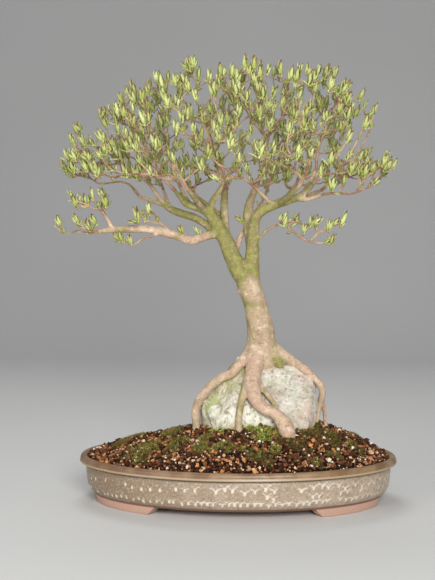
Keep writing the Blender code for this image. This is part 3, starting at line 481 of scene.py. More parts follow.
# The drain screens: a square of black plastic mesh over each hole, which keeps the soil in. The bars are
# moulded as one sheet.
SCREEN_SIZE = 30.0
SCREEN_THICKNESS = 1.2
SCREEN_SQUARES = 6
GAP = 0.3
plastic, tree, shader = new_finish("black mesh plastic", 0.5)
scuffs = mottle(tree, place_of(tree), 0.004)
black = mixed(tree, scuffs, (0.012, 0.012, 0.012), (0.04, 0.04, 0.038))
coat(tree, shader, black, scuffs, 0.0001)
vary_roughness(tree, shader, scuffs, 0.4, 0.65)
for side, x in (("left", -DRAIN_X), ("right", DRAIN_X)):
    sheet = bmesh.new()
    middle = Matrix.Translation((x, 0, FLOOR_TOP + GAP + SCREEN_THICKNESS / 2))
    bmesh.ops.create_grid(sheet, x_segments=SCREEN_SQUARES, y_segments=SCREEN_SQUARES,
                          size=(SCREEN_SIZE - SCREEN_THICKNESS) / 2, matrix=middle)
    bars = with_modifier(finished_mesh("sheet", sheet), "WIREFRAME",
                         {"thickness": SCREEN_THICKNESS, "use_even_offset": False, "use_boundary": True})
    show("mesh_screen_" + side, bars, plastic, "screen", "drain_screen_" + side)

# The clips: soft aluminium wire, anodised brown, bent over each screen by hand. Its ends turn out under the
# pot's floor to hold.
CLIP_WIRE = 0.75
CLIP_LEG = 6.75
CLIP_REACH = 15.0


def tubes(name, routes, sides):
    """Round closed tubes along routes of points and radii, as one mesh."""
    path = bpy.data.curves.new(name, "CURVE")
    path.dimensions = "3D"
    path.bevel_depth = 1.0
    path.bevel_resolution = (sides - 4) // 2
    path.use_fill_caps = True
    for route in routes:
        spline = path.splines.new("POLY")
        spline.points.add(len(route) - 1)
        points = np.ones((len(route), 4))
        points[:, :3] = route[:, :3]
        spline.points.foreach_set("co", points.ravel())
        spline.points.foreach_set("radius", np.ascontiguousarray(route[:, 3]))
    closed = bmesh.new()
    closed.from_mesh(as_shown(linked(name, path)))
    bmesh.ops.remove_doubles(closed, verts=closed.verts, dist=0.002)
    bmesh.ops.recalc_face_normals(closed, faces=closed.faces)
    return finished_mesh(name, closed, 50)


anodised, tree, shader = new_finish("brown anodised wire", 0.35)
tarnish = mottle(tree, place_of(tree), 0.003)
brown = mixed(tree, tarnish, (0.34, 0.2, 0.11), (0.2, 0.12, 0.07))
coat(tree, shader, brown, tarnish, 0.0001)
vary_roughness(tree, shader, tarnish, 0.28, 0.5)
shader.inputs["Metallic"].default_value = 1.0
over = FLOOR_TOP + 2 * GAP + SCREEN_THICKNESS + CLIP_WIRE
under = FOOT_HEIGHT - GAP - CLIP_WIRE
half_clip = ((0, over), (CLIP_LEG - 2, over), (CLIP_LEG, over - 2), (CLIP_LEG, under + 2),
             (CLIP_LEG + 2, under), (CLIP_REACH, under))
for side, x in (("left", -DRAIN_X), ("right", DRAIN_X)):
    bends = [(x - across, CLIP_LEG, height, CLIP_WIRE) for across, height in half_clip[:0:-1]]
    bends += [(x + across, CLIP_LEG, height, CLIP_WIRE) for across, height in half_clip]
    clip = tubes("clip", [evenly(smooth_line(bends, 5), 0.7)], 12)
    show("wire_clip_" + side, clip, anodised, "wire", "screen_clip_" + side)

# The rock: a broken boulder of pale pitted stone that the tree was planted astride. It is rounder on the
# left, where it is cracked, and squarer on the right. Algae grow on it beside the left root.
ROCK_CENTRE = Vector((28.0, 6.0, 118.0))
ROCK_HALF = Vector((81.0, 66.0, 73.0))
# Where the rock swells or is hollow: the way from its middle, how far, and how wide.
ROCK_SWELLS = (
    (Vector((-0.22, 0.12, 0.97)), 14.0, 0.16),
    (Vector((0.2, 0.1, 0.98)), -7.0, 0.25),
    (Vector((0.62, 0.0, 0.78)), 5.0, 0.22),
    (Vector((0.12, -0.5, 0.86)), 5.0, 0.3),
)
# The left shoulder broke away along two slopes: the way each faces, and its part of the rock's half size.
ROCK_BREAKS = ((Vector((-0.867, 0.0, 0.499)), 0.93), (Vector((-0.7, 0.0, 0.714)), 0.93))
ROCK_FACETS = 9
ROCK_FACET_SEED = 5
ROCK_SEED = Vector((3.7, 1.2, 8.1))
ROCK_ROUGHNESS = 5.0
ROCK_TAPER = 0.35
ROCK_POWER = 4.6
ROCK_SQUARER_RIGHT = 1.4
ROCK_GRAIN = 0.8
PIT_DEPTH = 1.3
CRACK_DEPTH = 1.5
ALGAE_LINE = ((5, -24, 184), (-10, -30, 170), (-22, -33, 164), (-34, -35, 150), (-43, -36, 141))


def rock_place(way, facets):
    """Where the boulder's skin lies along a direction from its middle."""
    power = ROCK_POWER + ROCK_SQUARER_RIGHT * clamped(way.x / 0.6, -1.0)
    place = way * sum(abs(part) ** power for part in way) ** (-1 / power)
    for facing, distance in facets:
        place -= facing * max(0.0, place.dot(facing) - distance)
    place.y *= 1 - ROCK_TAPER * place.z
    lump = noise.noise(way * 2.1 + ROCK_SEED) * 1.4 + noise.noise(way * 5.0 + ROCK_SEED) * 0.7
    swell = sum(math.exp(-((way - middle).length / spread) ** 2) * far for middle, far, spread in ROCK_SWELLS)
    skin = Vector([part * half for part, half in zip(place, ROCK_HALF)])
    return ROCK_CENTRE + skin + way * (lump * ROCK_ROUGHNESS + swell)


def stone_relief(place):
    """The depth of cracks, pits and grain at a place on the stone."""
    waver = Vector((noise.noise(place / 14), 0, 0)) * 0.9
    upright = Vector((place.x / 11, place.y / 11, place.z / 60)) + waver
    crack = max(0.0, 1 - abs(noise.noise(upright + ROCK_SEED)) * 11)
    cracked = clamped((10 - place.x) / 30) * 0.8 + 0.2
    flaked = abs(noise.noise(place / 15 + ROCK_SEED)) * 1.5
    pit = max(0.0, noise.noise(place / 2.7) - 0.25) * 3
    grain = noise.noise(place / 5.5) + 0.6 * noise.noise(place / 2.4)
    return flaked + grain * ROCK_GRAIN - crack * cracked * CRACK_DEPTH - pit * PIT_DEPTH - 0.5


rng = random.Random(ROCK_FACET_SEED)
facets = list(ROCK_BREAKS)
for _ in range(ROCK_FACETS):
    facing = Vector((rng.uniform(-1, 0.3), rng.uniform(-1, 1), rng.uniform(-0.4, 1))).normalized()
    facets.append((facing, rng.uniform(0.94, 1.05)))
boulder = bmesh.new()
bmesh.ops.create_icosphere(boulder, subdivisions=7, radius=1)
wet = boulder.verts.layers.float.new("algae")
pitted = boulder.verts.layers.float.new("pits")
algae_line = smooth_line(ALGAE_LINE, 8)
for vert in boulder.verts:
    way = vert.co.normalized()
    skin = rock_place(way, facets)
    depth = stone_relief(skin)
    vert[pitted] = depth
    vert.co = skin + way * depth
    vert[wet] = math.exp(-(np.linalg.norm(algae_line - skin, axis=1).min() / 17) ** 2)
bmesh.ops.recalc_face_normals(boulder, faces=boulder.faces)
rock_faces = bvhtree.BVHTree.FromBMesh(boulder)
stone_mesh = finished_mesh("boulder", boulder, 60)

stone, tree, shader = new_finish("pale pitted stone", 0.9)
place = place_of(tree)
patches = mottle(tree, place, 0.02, 6.0)
specks = mottle(tree, place, 0.0022, 5.0)
drawn_down = add(tree, "Mapping", Vector=place, Scale=(1.0, 1.0, 0.45)).outputs["Vector"]
streaks = mottle(tree, drawn_down, 0.006, 4.0)
depth = own_value(tree, "pits")
green = own_value(tree, "algae")
sides = add(tree, "SeparateXYZ", Vector=place)
low_down = rise(tree, sides.outputs["Z"], 0.124, 0.106)
right_side = rise(tree, sides.outputs["X"], 0.03, 0.09)
colour = mixed(tree, rise(tree, patches, 0.44, 0.6), (0.74, 0.72, 0.60), (0.66, 0.57, 0.47))
rosy = mixed(tree, rise(tree, patches, 0.4, 0.6), (0.60, 0.57, 0.49), (0.56, 0.44, 0.37))
colour = mixed(tree, right_side, colour, rosy)
colour = tinted(tree, colour, streaks, 0.5, 0.62, 0.55, (0.40, 0.41, 0.26))
colour = tinted(tree, colour, specks, 0.54, 0.7, 0.5, (0.36, 0.31, 0.22))
colour = tinted(tree, colour, specks, 0.46, 0.32, 0.45, (0.86, 0.84, 0.78))
colour = tinted(tree, colour, depth, -0.1, -1.5, 0.8, (0.27, 0.23, 0.15))
stain = product(tree, low_down, rise(tree, streaks, 0.38, 0.58))
colour = mixed(tree, product(tree, stain, 0.8), colour, (0.36, 0.33, 0.12))
growth = product(tree, rise(tree, green, 0.2, 0.8), rise(tree, mottle(tree, place, 0.008, 5.0), 0.3, 0.55))
colour = mixed(tree, product(tree, growth, 0.85), colour, (0.33, 0.35, 0.12))
coat(tree, shader, colour, specks, 0.0006)
show("pale_rock", stone_mesh, stone, "rock", "rock")

# The soil: grains of fired clay, pumice, lava and bark, heaped to a mound about the rock. The CAD body
# carries the finest grit between them.
SOIL_EDGE = POT_HEIGHT - 3.2
SOIL_EDGE_INSET = 12.2
HEAP_RISE = 13.7
MOUND_RISE = 45.0
MOUND_CENTRE = (42.5, -14.0)
MOUND_HALF = (142.0, 140.0)
SOIL_GRAIN = 1.3
SOIL_GRAIN_PITCH = 9.0
SCATTER_PITCH = 3.35
ROW_STEP = 0.87
HEAP_REACH = 0.995
SOIL_SEED = 23
EARTH_GLOSS = 0.15
# Each kind has its share of the grains, smallest and largest size, sharpness, and two colours.
GRAIN_KINDS = {
    "fired_clay": (0.30, 2.8, 6.8, 0.36, (0.09, 0.024, 0.008), (0.72, 0.30, 0.11)),
    "lava": (0.28, 2.8, 7.2, 0.38, (0.006, 0.001, 0.001), (0.085, 0.022, 0.008)),
    "pumice": (0.07, 2.4, 6.6, 0.26, (0.62, 0.46, 0.27), (0.97, 0.90, 0.74)),
    "bark_chips": (0.17, 3.2, 8.6, 0.40, (0.012, 0.004, 0.002), (0.15, 0.06, 0.022)),
    "rose_grit": (0.18, 2.4, 5.8, 0.34, (0.13, 0.045, 0.018), (0.86, 0.54, 0.36)),
}


def soil_height(x, y):
    """The heap in the pot and the mound about the rock, with the grains' unevenness."""
    across = y / (HALF_DEPTH - SOIL_EDGE_INSET)
    along = x / (HALF_LENGTH - SOIL_EDGE_INSET)
    spread = min(1.0, math.hypot(along, across))
    aside = abs(x - MOUND_CENTRE[0]) / MOUND_HALF[0]
    ahead = abs(y - MOUND_CENTRE[1]) / MOUND_HALF[1]
    mound = HEAP_RISE + MOUND_RISE * math.exp(-aside ** 1.9 - ahead ** 1.5)
    grain = noise.noise(Vector((x, y, 0)) / SOIL_GRAIN_PITCH) * SOIL_GRAIN
    return SOIL_EDGE + (mound + grain) * (1 - spread ** 6)


def in_rock(place):
    near, outward, _, _ = rock_faces.find_nearest(place)
    return (place - near).dot(outward) < 0


def scattered(pitch, rng, wanted):
    """Places on the mound, on a wavering grid of the given pitch, outside the rock."""
    places = []
    for row in range(int(2 * HALF_DEPTH / pitch / ROW_STEP) + 1):
        for column in range(int(2 * HALF_LENGTH / pitch) + 1):
            x = (column + 0.5 * (row % 2) + rng.uniform(-0.4, 0.4)) * pitch - HALF_LENGTH
            y = (row * ROW_STEP + rng.uniform(-0.4, 0.4)) * pitch - HALF_DEPTH
            edge = math.hypot(x / (HALF_LENGTH - SOIL_EDGE_INSET), y / (HALF_DEPTH - SOIL_EDGE_INSET))
            if edge > HEAP_REACH or not wanted(x, y):
                continue
            place = Vector((x, y, soil_height(x, y)))
            if not in_rock(place):
                places.append(place)
    return places


def random_turn(rng, least_lean, most_lean):
    about = Matrix.Rotation(rng.uniform(0, 2 * math.pi), 3, "Z")
    return about @ Matrix.Rotation(rng.uniform(least_lean, most_lean), 3, "X")


def turned(rng, size):
    """A random turn, as the rows of a 3 by 3 array, with a stretch along each of its own axes."""
    turn = random_turn(rng, 0, math.pi)
    stretch = Matrix.Diagonal([size / 2 * rng.uniform(0.7, 1.15) for _ in range(3)])
    return np.array(turn @ stretch)


def stamped(name, template, turns, places, smooth=True, **own):
    """Copies of a small mesh, one for each turn and place. Each copy may carry values of its own."""
    count = len(places)
    corners = np.array([vert.co for vert in template.vertices])
    loops = np.array([loop.vertex_index for loop in template.loops])
    starts = np.array([face.loop_start for face in template.polygons])
    step = np.arange(count)[:, None]
    mesh = bpy.data.meshes.new(name)
    mesh.vertices.add(count * len(corners))
    put = np.einsum("nij,vj->nvi", np.array(turns), corners) + np.array(places)[:, None]
    mesh.vertices.foreach_set("co", put.ravel())
    mesh.loops.add(count * len(loops))
    mesh.loops.foreach_set("vertex_index", (loops + step * len(corners)).ravel())
    mesh.polygons.add(count * len(starts))
    mesh.polygons.foreach_set("loop_start", (starts + step * len(loops)).ravel())
    mesh.polygons.foreach_set("use_smooth", np.full(count * len(starts), smooth))
    mesh.update(calc_edges=True)
    values = {key: np.repeat(value, len(corners)) for key, value in own.items()}
    for shared in template.attributes:
        if shared.data_type == "FLOAT" and shared.domain == "POINT":
            values[shared.name] = np.tile([item.value for item in shared.data], count)
    for key, value in values.items():
        carry(mesh, key, value)
    return mesh


rng = random.Random(SOIL_SEED)
spots = scattered(SCATTER_PITCH, rng, lambda x, y: True)
rng.shuffle(spots)
first = 0
for kind, (share, smallest, largest, sharpness, dark, light) in GRAIN_KINDS.items():
    pebble = bmesh.new()
    bmesh.ops.create_icosphere(pebble, subdivisions=1, radius=1)
    for vert in pebble.verts:
        vert.co *= 1 + rng.uniform(-sharpness, sharpness)
    last = first + round(share * len(spots))
    turns, places, tones = [], [], []
    for spot in spots[first:last]:
        size = smallest + (largest - smallest) * rng.random() ** 2
        turns.append(turned(rng, size))
        places.append(spot + Vector((0, 0, size * rng.uniform(-0.12, 0.42))))
        tones.append(rng.random() ** 1.5)
    first = last
    grains = stamped(kind, finished_mesh(kind, pebble), turns, places, smooth=False, tone=tones)
    matter, tree, shader = new_finish(kind.replace("_", " "), 0.95, EARTH_GLOSS)
    tone = own_value(tree, "tone")
    dust = mottle(tree, place_of(tree), 0.001)
    colour = mixed(tree, tone, dark, light)
    colour = mixed(tree, product(tree, dust, 0.12), colour, (0.30, 0.17, 0.09))
    coat(tree, shader, colour, dust, 0.0002)
    show("grains_of_" + kind, grains, matter, "soil")

grit, tree, shader = new_finish("soil grit", 0.95, EARTH_GLOSS)
place = place_of(tree)
cell = add(tree, "TexVoronoi", Vector=place, Scale=330.0)
pick = add(tree, "SeparateColor", Color=cell.outputs["Color"]).outputs["Red"]
colour = mixed(tree, rise(tree, pick, 0.5, 0.65), (0.016, 0.008, 0.005), (0.09, 0.03, 0.013))
colour = mixed(tree, rise(tree, pick, 0.9, 0.94), colour, (0.3, 0.2, 0.12))
# Far from each grain's middle, in the gaps between the grit's grains, the colour goes near black: painted
# shade.
off_middle = cell.outputs["Distance"]
colour = mixed(tree, rise(tree, off_middle, 0.2, 0.6), colour, (0.008, 0.004, 0.003))
coat(tree, shader, colour, off_middle, -0.001)
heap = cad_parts["soil"]
heap.data.materials.clear()
heap.data.materials.append(grit)

# The moss: cushions that have settled on the damp soil, brightest about the foot of the rock and brown where
# the front root shades it. Each is a low dome with tufts of pointed leaves standing close on it.
# Each bed: the place of its middle, its half sizes, and how fresh its green is.
MOSS_BEDS = (
    (-164, -12, 12, 24, 0.1), (-125, -68, 22, 28, 0.3), (-92, -8, 19, 26, 0.3), (-79, -67, 15, 18, 0.3),
    (-83, -90, 10, 10, 0.2), (-45, -95, 11, 11, 0.4), (-44, -74, 10, 10, 0.4), (-17, -102, 21, 10, 0.4),
    (-15, -56, 24, 15, 1.0), (9, -62, 15, 12, 1.0), (36, -77, 22, 15, 1.0), (4, -107, 11, 6, 0.4),
    (34, -118, 20, 8, 0.2), (54, -106, 8, 6, 0.5), (76, -91, 24, 11, 0.0), (129, -50, 16, 20, 0.1),
    (160, -50, 14, 11, 0.4), (134, -87, 14, 5, 0.2), (109, -108, 8, 5, 0.3), (102, -40, 14, 22, 0.3),
    (110, 34, 26, 30, 0.4), (-150, 46, 26, 18, 0.3), (-88, 72, 30, 20, 0.3), (-12, 84, 36, 14, 0.8),
    (56, 90, 30, 16, 0.6), (168, 26, 14, 22, 0.2), (-38, 20, 20, 20, 0.8), (101, -62, 20, 15, 0.0),
)
CUSHION_PITCH = 6.0
TUFT_PITCH = 3.3
MOSS_SEED = 6
TUFT_LEAVES = 5
TUFT_LEAN = 0.35
MOSS_SPREAD = 0.03


def moss_here(x, y):
    """How thick the moss is at a place on the mound, with ragged edges, and how fresh. It is bare below 0."""
    ragged = 0.55 * noise.noise(Vector((x, y, 40)) / 9) + 0.3 * noise.noise(Vector((x, y, 40)) / 3.5)
    beds = [(1 - math.hypot((x - bed[0]) / bed[2], (y - bed[1]) / bed[3]), bed[4]) for bed in MOSS_BEDS]
    thickness, fresh = max(beds)
    return thickness + ragged + MOSS_SPREAD, fresh


rng = random.Random(MOSS_SEED)
dome = bmesh.new()
bmesh.ops.create_icosphere(dome, subdivisions=2, radius=1)
cushion = bmesh.new()
for number in range(TUFT_LEAVES):
    lean = Matrix.Rotation(2.4 * number, 4, "Z") @ Matrix.Rotation(0.46 * math.sqrt(number), 4, "Y")
    leaf = lean @ Matrix.Translation((0, 0, 0.55))
    bmesh.ops.create_cone(
        cushion, cap_ends=True, segments=3, radius1=0.2, radius2=0.03, depth=1.9, matrix=leaf
    )
for name, shape, pitch in (("domes", dome, CUSHION_PITCH), ("tufts", cushion, TUFT_PITCH)):
    turns, places, tones, youth = [], [], [], []
    for spot in scattered(pitch, rng, lambda x, y: moss_here(x, y)[0] > 0):
        cover, fresh = moss_here(spot.x, spot.y)
        turn = random_turn(rng, -TUFT_LEAN, TUFT_LEAN)
        if name == "domes":
            size = pitch * rng.uniform(0.62, 0.8)
            turns.append(np.array(Matrix.Diagonal((size, size, 1.4 + min(2.6, 3 * cover)))))
            places.append(spot)
            tones.append(rng.uniform(0.0, 0.25))
        else:
            turns.append(np.array(turn) * rng.uniform(1.9, 2.9))
            places.append(spot + Vector((0, 0, 0.6 + min(3.0, 3.6 * cover))))
            tones.append(clamped(rng.uniform(-0.2, 1.0) + 0.25 * cover))
        youth.append(fresh)
    cushions = stamped(name, finished_mesh(name, shape), turns, places, smooth=False, tone=tones, fresh=youth)
    moss, tree, shader = new_finish("moss " + name, 0.9, EARTH_GLOSS)
    tone = own_value(tree, "tone")
    fresh = own_value(tree, "fresh")
    damp = mottle(tree, place_of(tree), 0.005)
    shaded = mixed(tree, fresh, (0.036, 0.026, 0.008), (0.06, 0.085, 0.012))
    sunlit = mixed(tree, fresh, (0.21, 0.15, 0.04), (0.56, 0.58, 0.12))
    colour = mixed(tree, tone, shaded, sunlit)
    colour = mixed(tree, rise(tree, damp, 0.55, 0.75), colour, (0.16, 0.10, 0.03))
    coat(tree, shader, colour, damp, 0.0003)
    show("moss_" + name, cushions, moss, "soil")

# The trunk: the maple's wood, which grew as one piece. Roots flow from it over the rock into the soil, and
# stems and limbs rise from it. Its thin bark is beige, and algae turn the stems that stand in damp air green.
# Each stretch of the wood runs through places (x, y, z) with a radius at each.
WOOD = {
    "trunk": (
        (37, 6, 184, 20), (36, 4, 196, 21.5), (35.5, 2, 212, 21), (33.5, 0, 229, 20.2), (32, 0, 246, 19.2),
        (27.5, 0, 268, 17), (21.5, 0, 289, 16.5), (15.5, 0, 306, 16.5), (9, 0, 322, 11),
    ),
    "left_stem": (
        (19, 0, 296, 11), (5, 0, 321, 13.8), (-5.5, -2, 341, 12.2), (-15, -4, 364, 11),
        (-24, -6, 382, 9.6), (-34, -7, 398, 8.4), (-44, -8, 413, 7.2),
    ),
    "right_stem": (
        (17, 0, 302, 14), (20, 0, 324, 11.8), (21, -2, 347, 9.8), (21.5, -5, 365, 8.6),
        (23, -10, 385, 7.8), (28, -14, 402, 7), (39, -17, 411, 6.7), (53, -19, 417, 6.4),
        (69, -20, 422, 6), (85, -20, 427, 5),
    ),
    "beige_stem": (
        (19, -1, 352, 6.6), (17, 8, 370, 6.6), (14, 18, 396, 7), (16, 23, 418, 6.4), (22, 27, 436, 5),
    ),
    "centre_stem": (
        (-8, -1, 346, 6.4), (-16, 9, 368, 6), (-19, 19, 396, 5.9), (-20, 26, 422, 5.6),
        (-19, 30, 440, 4.6),
    ),
    "diagonal": ((-3, 1, 350, 4.4), (3, 16, 372, 4), (11, 34, 386, 3.6), (23, 56, 408, 3.2)),
    "root_left": (
        (26, 0, 224, 11), (16, -7, 208, 8.4), (5, -14, 194, 7), (-7, -21, 181, 6.7), (-20, -26, 176, 6.4),
        (-32, -28, 167, 6.3), (-44, -29, 155, 6), (-54, -28, 141, 5.9), (-58, -27, 126, 5.6),
        (-57, -27, 109, 5.3), (-57, -27, 91, 4.8), (-56, -27, 77, 3.4),
    ),
    "root_front": (
        (30, -2, 228, 15), (27, -12, 204, 12.9), (23, -30, 182, 11.7), (23, -43, 169, 10.5),
        (24, -53, 157, 9.8), (28, -59, 147, 9.2), (38, -64, 138, 8.2), (50, -68, 133, 7.8),
        (59, -71, 127, 8.8), (66, -74, 117, 10.6), (70, -76, 107, 11.2), (72, -79, 91, 9.2),
        (74, -82, 74, 5.5),
    ),
    "root_thin": (
        (21, -18, 194, 5.6), (15, -32, 176, 5.4), (12, -43, 163, 5.1), (8, -56, 148, 4.8),
        (5, -62, 132, 4.6), (4, -67, 118, 4.6), (5, -71, 104, 4.5), (6, -74, 88, 3.8), (6, -75, 76, 2.8),
    ),
    "root_join": (
        (29, -32, 176, 4.2), (36, -43, 163, 3.6), (44, -53, 153, 3.4), (52, -60, 144, 3.2),
        (57, -68, 131, 3),
    ),
    "root_right": (
        (38, 2, 223, 12), (55, 0, 211, 10), (70, -2, 201, 8.2), (84, -4, 192, 7), (97, -13, 184, 6.1),
        (109, -15, 173, 5.4), (118, -14, 162, 4.9), (120, -13, 152, 4.7), (117, -11, 139, 4.5),
        (113, -14, 123, 3.9), (110, -17, 107, 3.7), (109, -19, 90, 3.1), (109, -19, 78, 2.2),
    ),
    "root_right_fork": (
        (118, -9, 145, 3.4), (122, -7, 133, 3.1), (124, -7, 119, 2.8), (125, -8, 103, 2.6),
        (125, -9, 84, 2),
    ),
    "root_web": ((42, -2, 214, 12), (52, -6, 203, 9.5), (59, -8, 195, 7), (62, -9, 187, 4.5)),
    "root_back": (
        (38, 8, 216, 11), (46, 26, 198, 9), (52, 44, 182, 8), (56, 60, 160, 7), (58, 70, 134, 6.2),
        (60, 78, 110, 5.6), (60, 82, 88, 4.6), (60, 83, 74, 3),
    ),
    "root_back_left": (
        (28, 8, 212, 10), (12, 26, 196, 7.6), (-6, 42, 182, 6.4), (-20, 54, 160, 5.6), (-28, 62, 134, 5),
        (-32, 70, 108, 4.4), (-34, 74, 86, 3.4),
    ),
    "low_left": (
        (-26, -6, 378, 6.4), (-43, -12, 374, 6.1), (-55, -18, 369, 6.2), (-65, -22, 367, 6.2),
        (-79, -28, 372, 6), (-96, -34, 377, 6), (-118, -40, 382, 5.7), (-137, -44, 383, 5.4),
        (-157, -47, 382, 4.8), (-175, -48, 381, 4), (-191, -48, 379, 2.6),
    ),
    "low_left_fork": ((-170, -48, 382, 3.4), (-176, -50, 393, 2.8), (-181, -54, 402, 2.2)),
    "left_limb": (
        (-22, -5, 370, 6), (-37, -2, 383, 5.6), (-49, 2, 393, 5.5), (-63, 6, 401, 5.6),
        (-80, 10, 406, 5.6), (-96, 14, 413, 5.2), (-108, 17, 422, 4.2),
    ),
    "left_limb_out": ((-104, 16, 419, 3.8), (-127, 22, 426, 3), (-140, 26, 431, 2.4)),
    "left_limb_up": ((-104, 16, 418, 3.6), (-116, 14, 433, 3.2), (-123, 10, 444, 2.6)),
    "left_limb_back": ((-98, 15, 414, 3.4), (-104, 30, 428, 2.8), (-110, 44, 442, 2.2)),
    "fork_left": (
        (-40, -8, 406, 5.8), (-52, -12, 412, 5.4), (-61, -16, 415, 5.1), (-71, -20, 418, 4.5),
        (-78, -25, 426, 3.6), (-86, -30, 436, 2.6),
    ),
    "fork_left_up": ((-67, -18, 417, 3.6), (-73, -21, 429, 3.2), (-79, -23, 442, 2.4)),
    "fork_right": ((-40, -8, 406, 5.4), (-35, -8, 422, 4.5), (-27, -9, 434, 4), (-21, -10, 446, 3)),
    "rise": ((80, -20, 425, 4.6), (96, -22, 435, 3.8), (107, -24, 447, 2.6)),
    "rise_up": ((92, -21, 433, 3.6), (103, -16, 450, 3), (109, -12, 464, 2.2)),
    "right_limb": ((80, -20, 426, 4), (97, -23, 424, 3.1), (118, -26, 430, 2.3)),
    "right_low": ((20, -4, 363, 2.8), (31, -11, 371, 2.2), (40, -18, 380, 2)),
    "crossing": ((50, -19, 417, 3.2), (39, -32, 426, 2.8), (28, -42, 437, 2.4)),
    "back_left": ((-18, 20, 398, 5), (-38, 44, 414, 4.2), (-58, 66, 430, 3)),
    "back_right": ((15, 20, 402, 5), (38, 44, 416, 4.4), (64, 68, 430, 3)),
    "front_left": ((-48, -10, 410, 4.4), (-56, -34, 422, 3.6), (-66, -56, 436, 2.6)),
    "front_right": ((57, -20, 418, 4.4), (70, -42, 426, 3.6), (84, -62, 438, 2.6)),
    "back_far_right": ((74, -19, 423, 4.2), (98, 8, 430, 3.6), (118, 32, 440, 2.6)),
    "low_left_shoot": ((-93, -33, 378, 2.6), (-99, -39, 385, 1.9)),
    "low_left_under": ((-108, -38, 377, 2.4), (-115, -46, 373, 1.7)),
}
# Short stubs where small limbs were cut away long ago.
STUBS = {
    "stub_left": ((9, -3, 294, 5), (1, -4, 296, 3.6), (-0.5, -4, 296.5, 2.4)),
    "stub_right": ((23, -3, 354, 5), (31, -4, 356, 3.2), (32, -4, 356.5, 2.2)),
}
# How green each stretch of wood is with algae, and how pink its bark, from 0 to 1.
BARK_TINTS = {
    "trunk": (0.3, 0.4), "left_stem": (0.9, 0.05), "right_stem": (0.75, 0.2), "beige_stem": (0.4, 0.45),
    "centre_stem": (0.5, 0.35), "diagonal": (0.05, 0.9), "root_left": (0.25, 0.8), "root_front": (0.08, 1.0),
    "root_thin": (0.4, 0.2), "root_join": (0.4, 0.2), "root_right": (0.2, 0.75),
    "root_right_fork": (0.05, 1.0), "low_left": (0.25, 0.95), "left_limb": (0.75, 0.1),
    "fork_left": (0.8, 0.1), "fork_right": (0.6, 0.2), "front_left": (0.6, 0.2), "front_right": (0.55, 0.3),
    "rise": (0.6, 0.3), "back_left": (0.6, 0.2), "back_right": (0.6, 0.2), "right_limb": (0.4, 0.6),
    # The root web is tinted a strong green: partly algae, partly painted shade in its recess under the roots.
    "root_web": (0.75, 0.1),
}
USUAL_TINT = (0.3, 0.5)
SAMPLE_PITCH = 2.0
VOXEL = 1.5
TINT_BLENDING = 40
OWNERS_AT_ONCE = 4000
BARK_BLENDING = 22
BARK_SEED = Vector((4.0, 9.0, 2.0))
# Bark that faces left is tinted this much greener, and bark that faces right as much less.
GREENER_FACING_LEFT = 0.35
# An old knot in the trunk: its middle, its rim's radius and height, and its hollow's radius and depth.
KNOT = Vector((27, -19, 236))
KNOT_RIM_RADIUS = 5.2
KNOT_RIM = 1.3
KNOT_HOLLOW_RADIUS = 3.0
KNOT_HOLLOW = 2.6


def sampled(route):
    """Each sample's place and radius, its way along, a steady side way, and its distance from the start."""
    line = evenly(smooth_line(route, 8), SAMPLE_PITCH)
    ahead = np.gradient(line[:, :3], axis=0)
    ahead /= np.linalg.norm(ahead, axis=1)[:, None]
    side = np.array(Vector(ahead[0]).orthogonal())
    sides = []
    for way in ahead:
        side = side - way * side.dot(way)
        side /= np.linalg.norm(side)
        sides.append(side)
    travelled = np.arange(len(line)) * SAMPLE_PITCH
    return line, ahead, np.array(sides), travelled


def owners_of(places, line):
    """For each place the nearest sample, reckoned in that sample's own radius."""
    nearest = np.zeros(len(places), int)
    for start in range(0, len(places), OWNERS_AT_ONCE):
        block = places[start:start + OWNERS_AT_ONCE, None, :]
        ratio = np.linalg.norm(block - line[None, :, :3], axis=2) / line[:, 3]
        nearest[start:start + OWNERS_AT_ONCE] = ratio.argmin(axis=1)
    return nearest


wood_routes = {**WOOD, **STUBS}
samples = {name: sampled(route) for name, route in wood_routes.items()}
line, ahead, sides, travelled = (
    np.concatenate([sample[part] for sample in samples.values()]) for part in range(4)
)
tints = np.concatenate([
    np.tile(BARK_TINTS.get(name, USUAL_TINT), (len(sample[0]), 1)) for name, sample in samples.items()
])
swollen = [evenly(smooth_line(route, 8), 3.0) + (0, 0, 0, 0.25) for route in wood_routes.values()]
wood = with_modifier(tubes("wood", swollen, 16), "REMESH", {"mode": "VOXEL", "voxel_size": VOXEL})
holder = linked("wood", wood)
places = np.array([vert.co for vert in wood.vertices])
nearest = owners_of(places, line)
thick = holder.vertex_groups.new(name="thick")
for number, radius in enumerate(line[nearest, 3]):
    thick.add([number], clamped((radius - 2.5) / 9, 0.12), "REPLACE")
blend = holder.modifiers.new("blend", "SMOOTH")
blend.factor = 0.5
blend.iterations = BARK_BLENDING
blend.vertex_group = "thick"
wood = as_shown(holder)

places = np.array([vert.co for vert in wood.vertices])
outward = np.array([vert.normal for vert in wood.vertices])
nearest = owners_of(places, line)
offset = places - line[nearest, :3]
ups = np.cross(ahead, sides)
across = np.einsum("ij,ij->i", offset, sides[nearest])
upward = np.einsum("ij,ij->i", offset, ups[nearest])
along = travelled[nearest] + np.einsum("ij,ij->i", offset, ahead[nearest])
radii = line[nearest, 3]
depths = np.zeros(len(places))
for number, place in enumerate(places):
    radius = radii[number]
    grain_place = Vector((across[number] / 2.2, upward[number] / 2.2, along[number] / 26)) + BARK_SEED
    lump = noise.noise(Vector(place) / (8 + radius)) * min(0.9, radius * 0.07)
    ring = noise.noise(Vector((across[number] / 30, upward[number] / 30, along[number] / 3.0)) + BARK_SEED)
    grain = noise.noise(grain_place) * min(0.35, radius * 0.035)
    depths[number] = lump + grain + ring * min(0.28, radius * 0.03)
knot_gap = np.linalg.norm(places - np.array(KNOT), axis=1)
knot_rim = KNOT_RIM * np.exp(-((knot_gap - KNOT_RIM_RADIUS) / 1.8) ** 2)
depths += knot_rim - KNOT_HOLLOW * np.exp(-(knot_gap / KNOT_HOLLOW_RADIUS) ** 2)
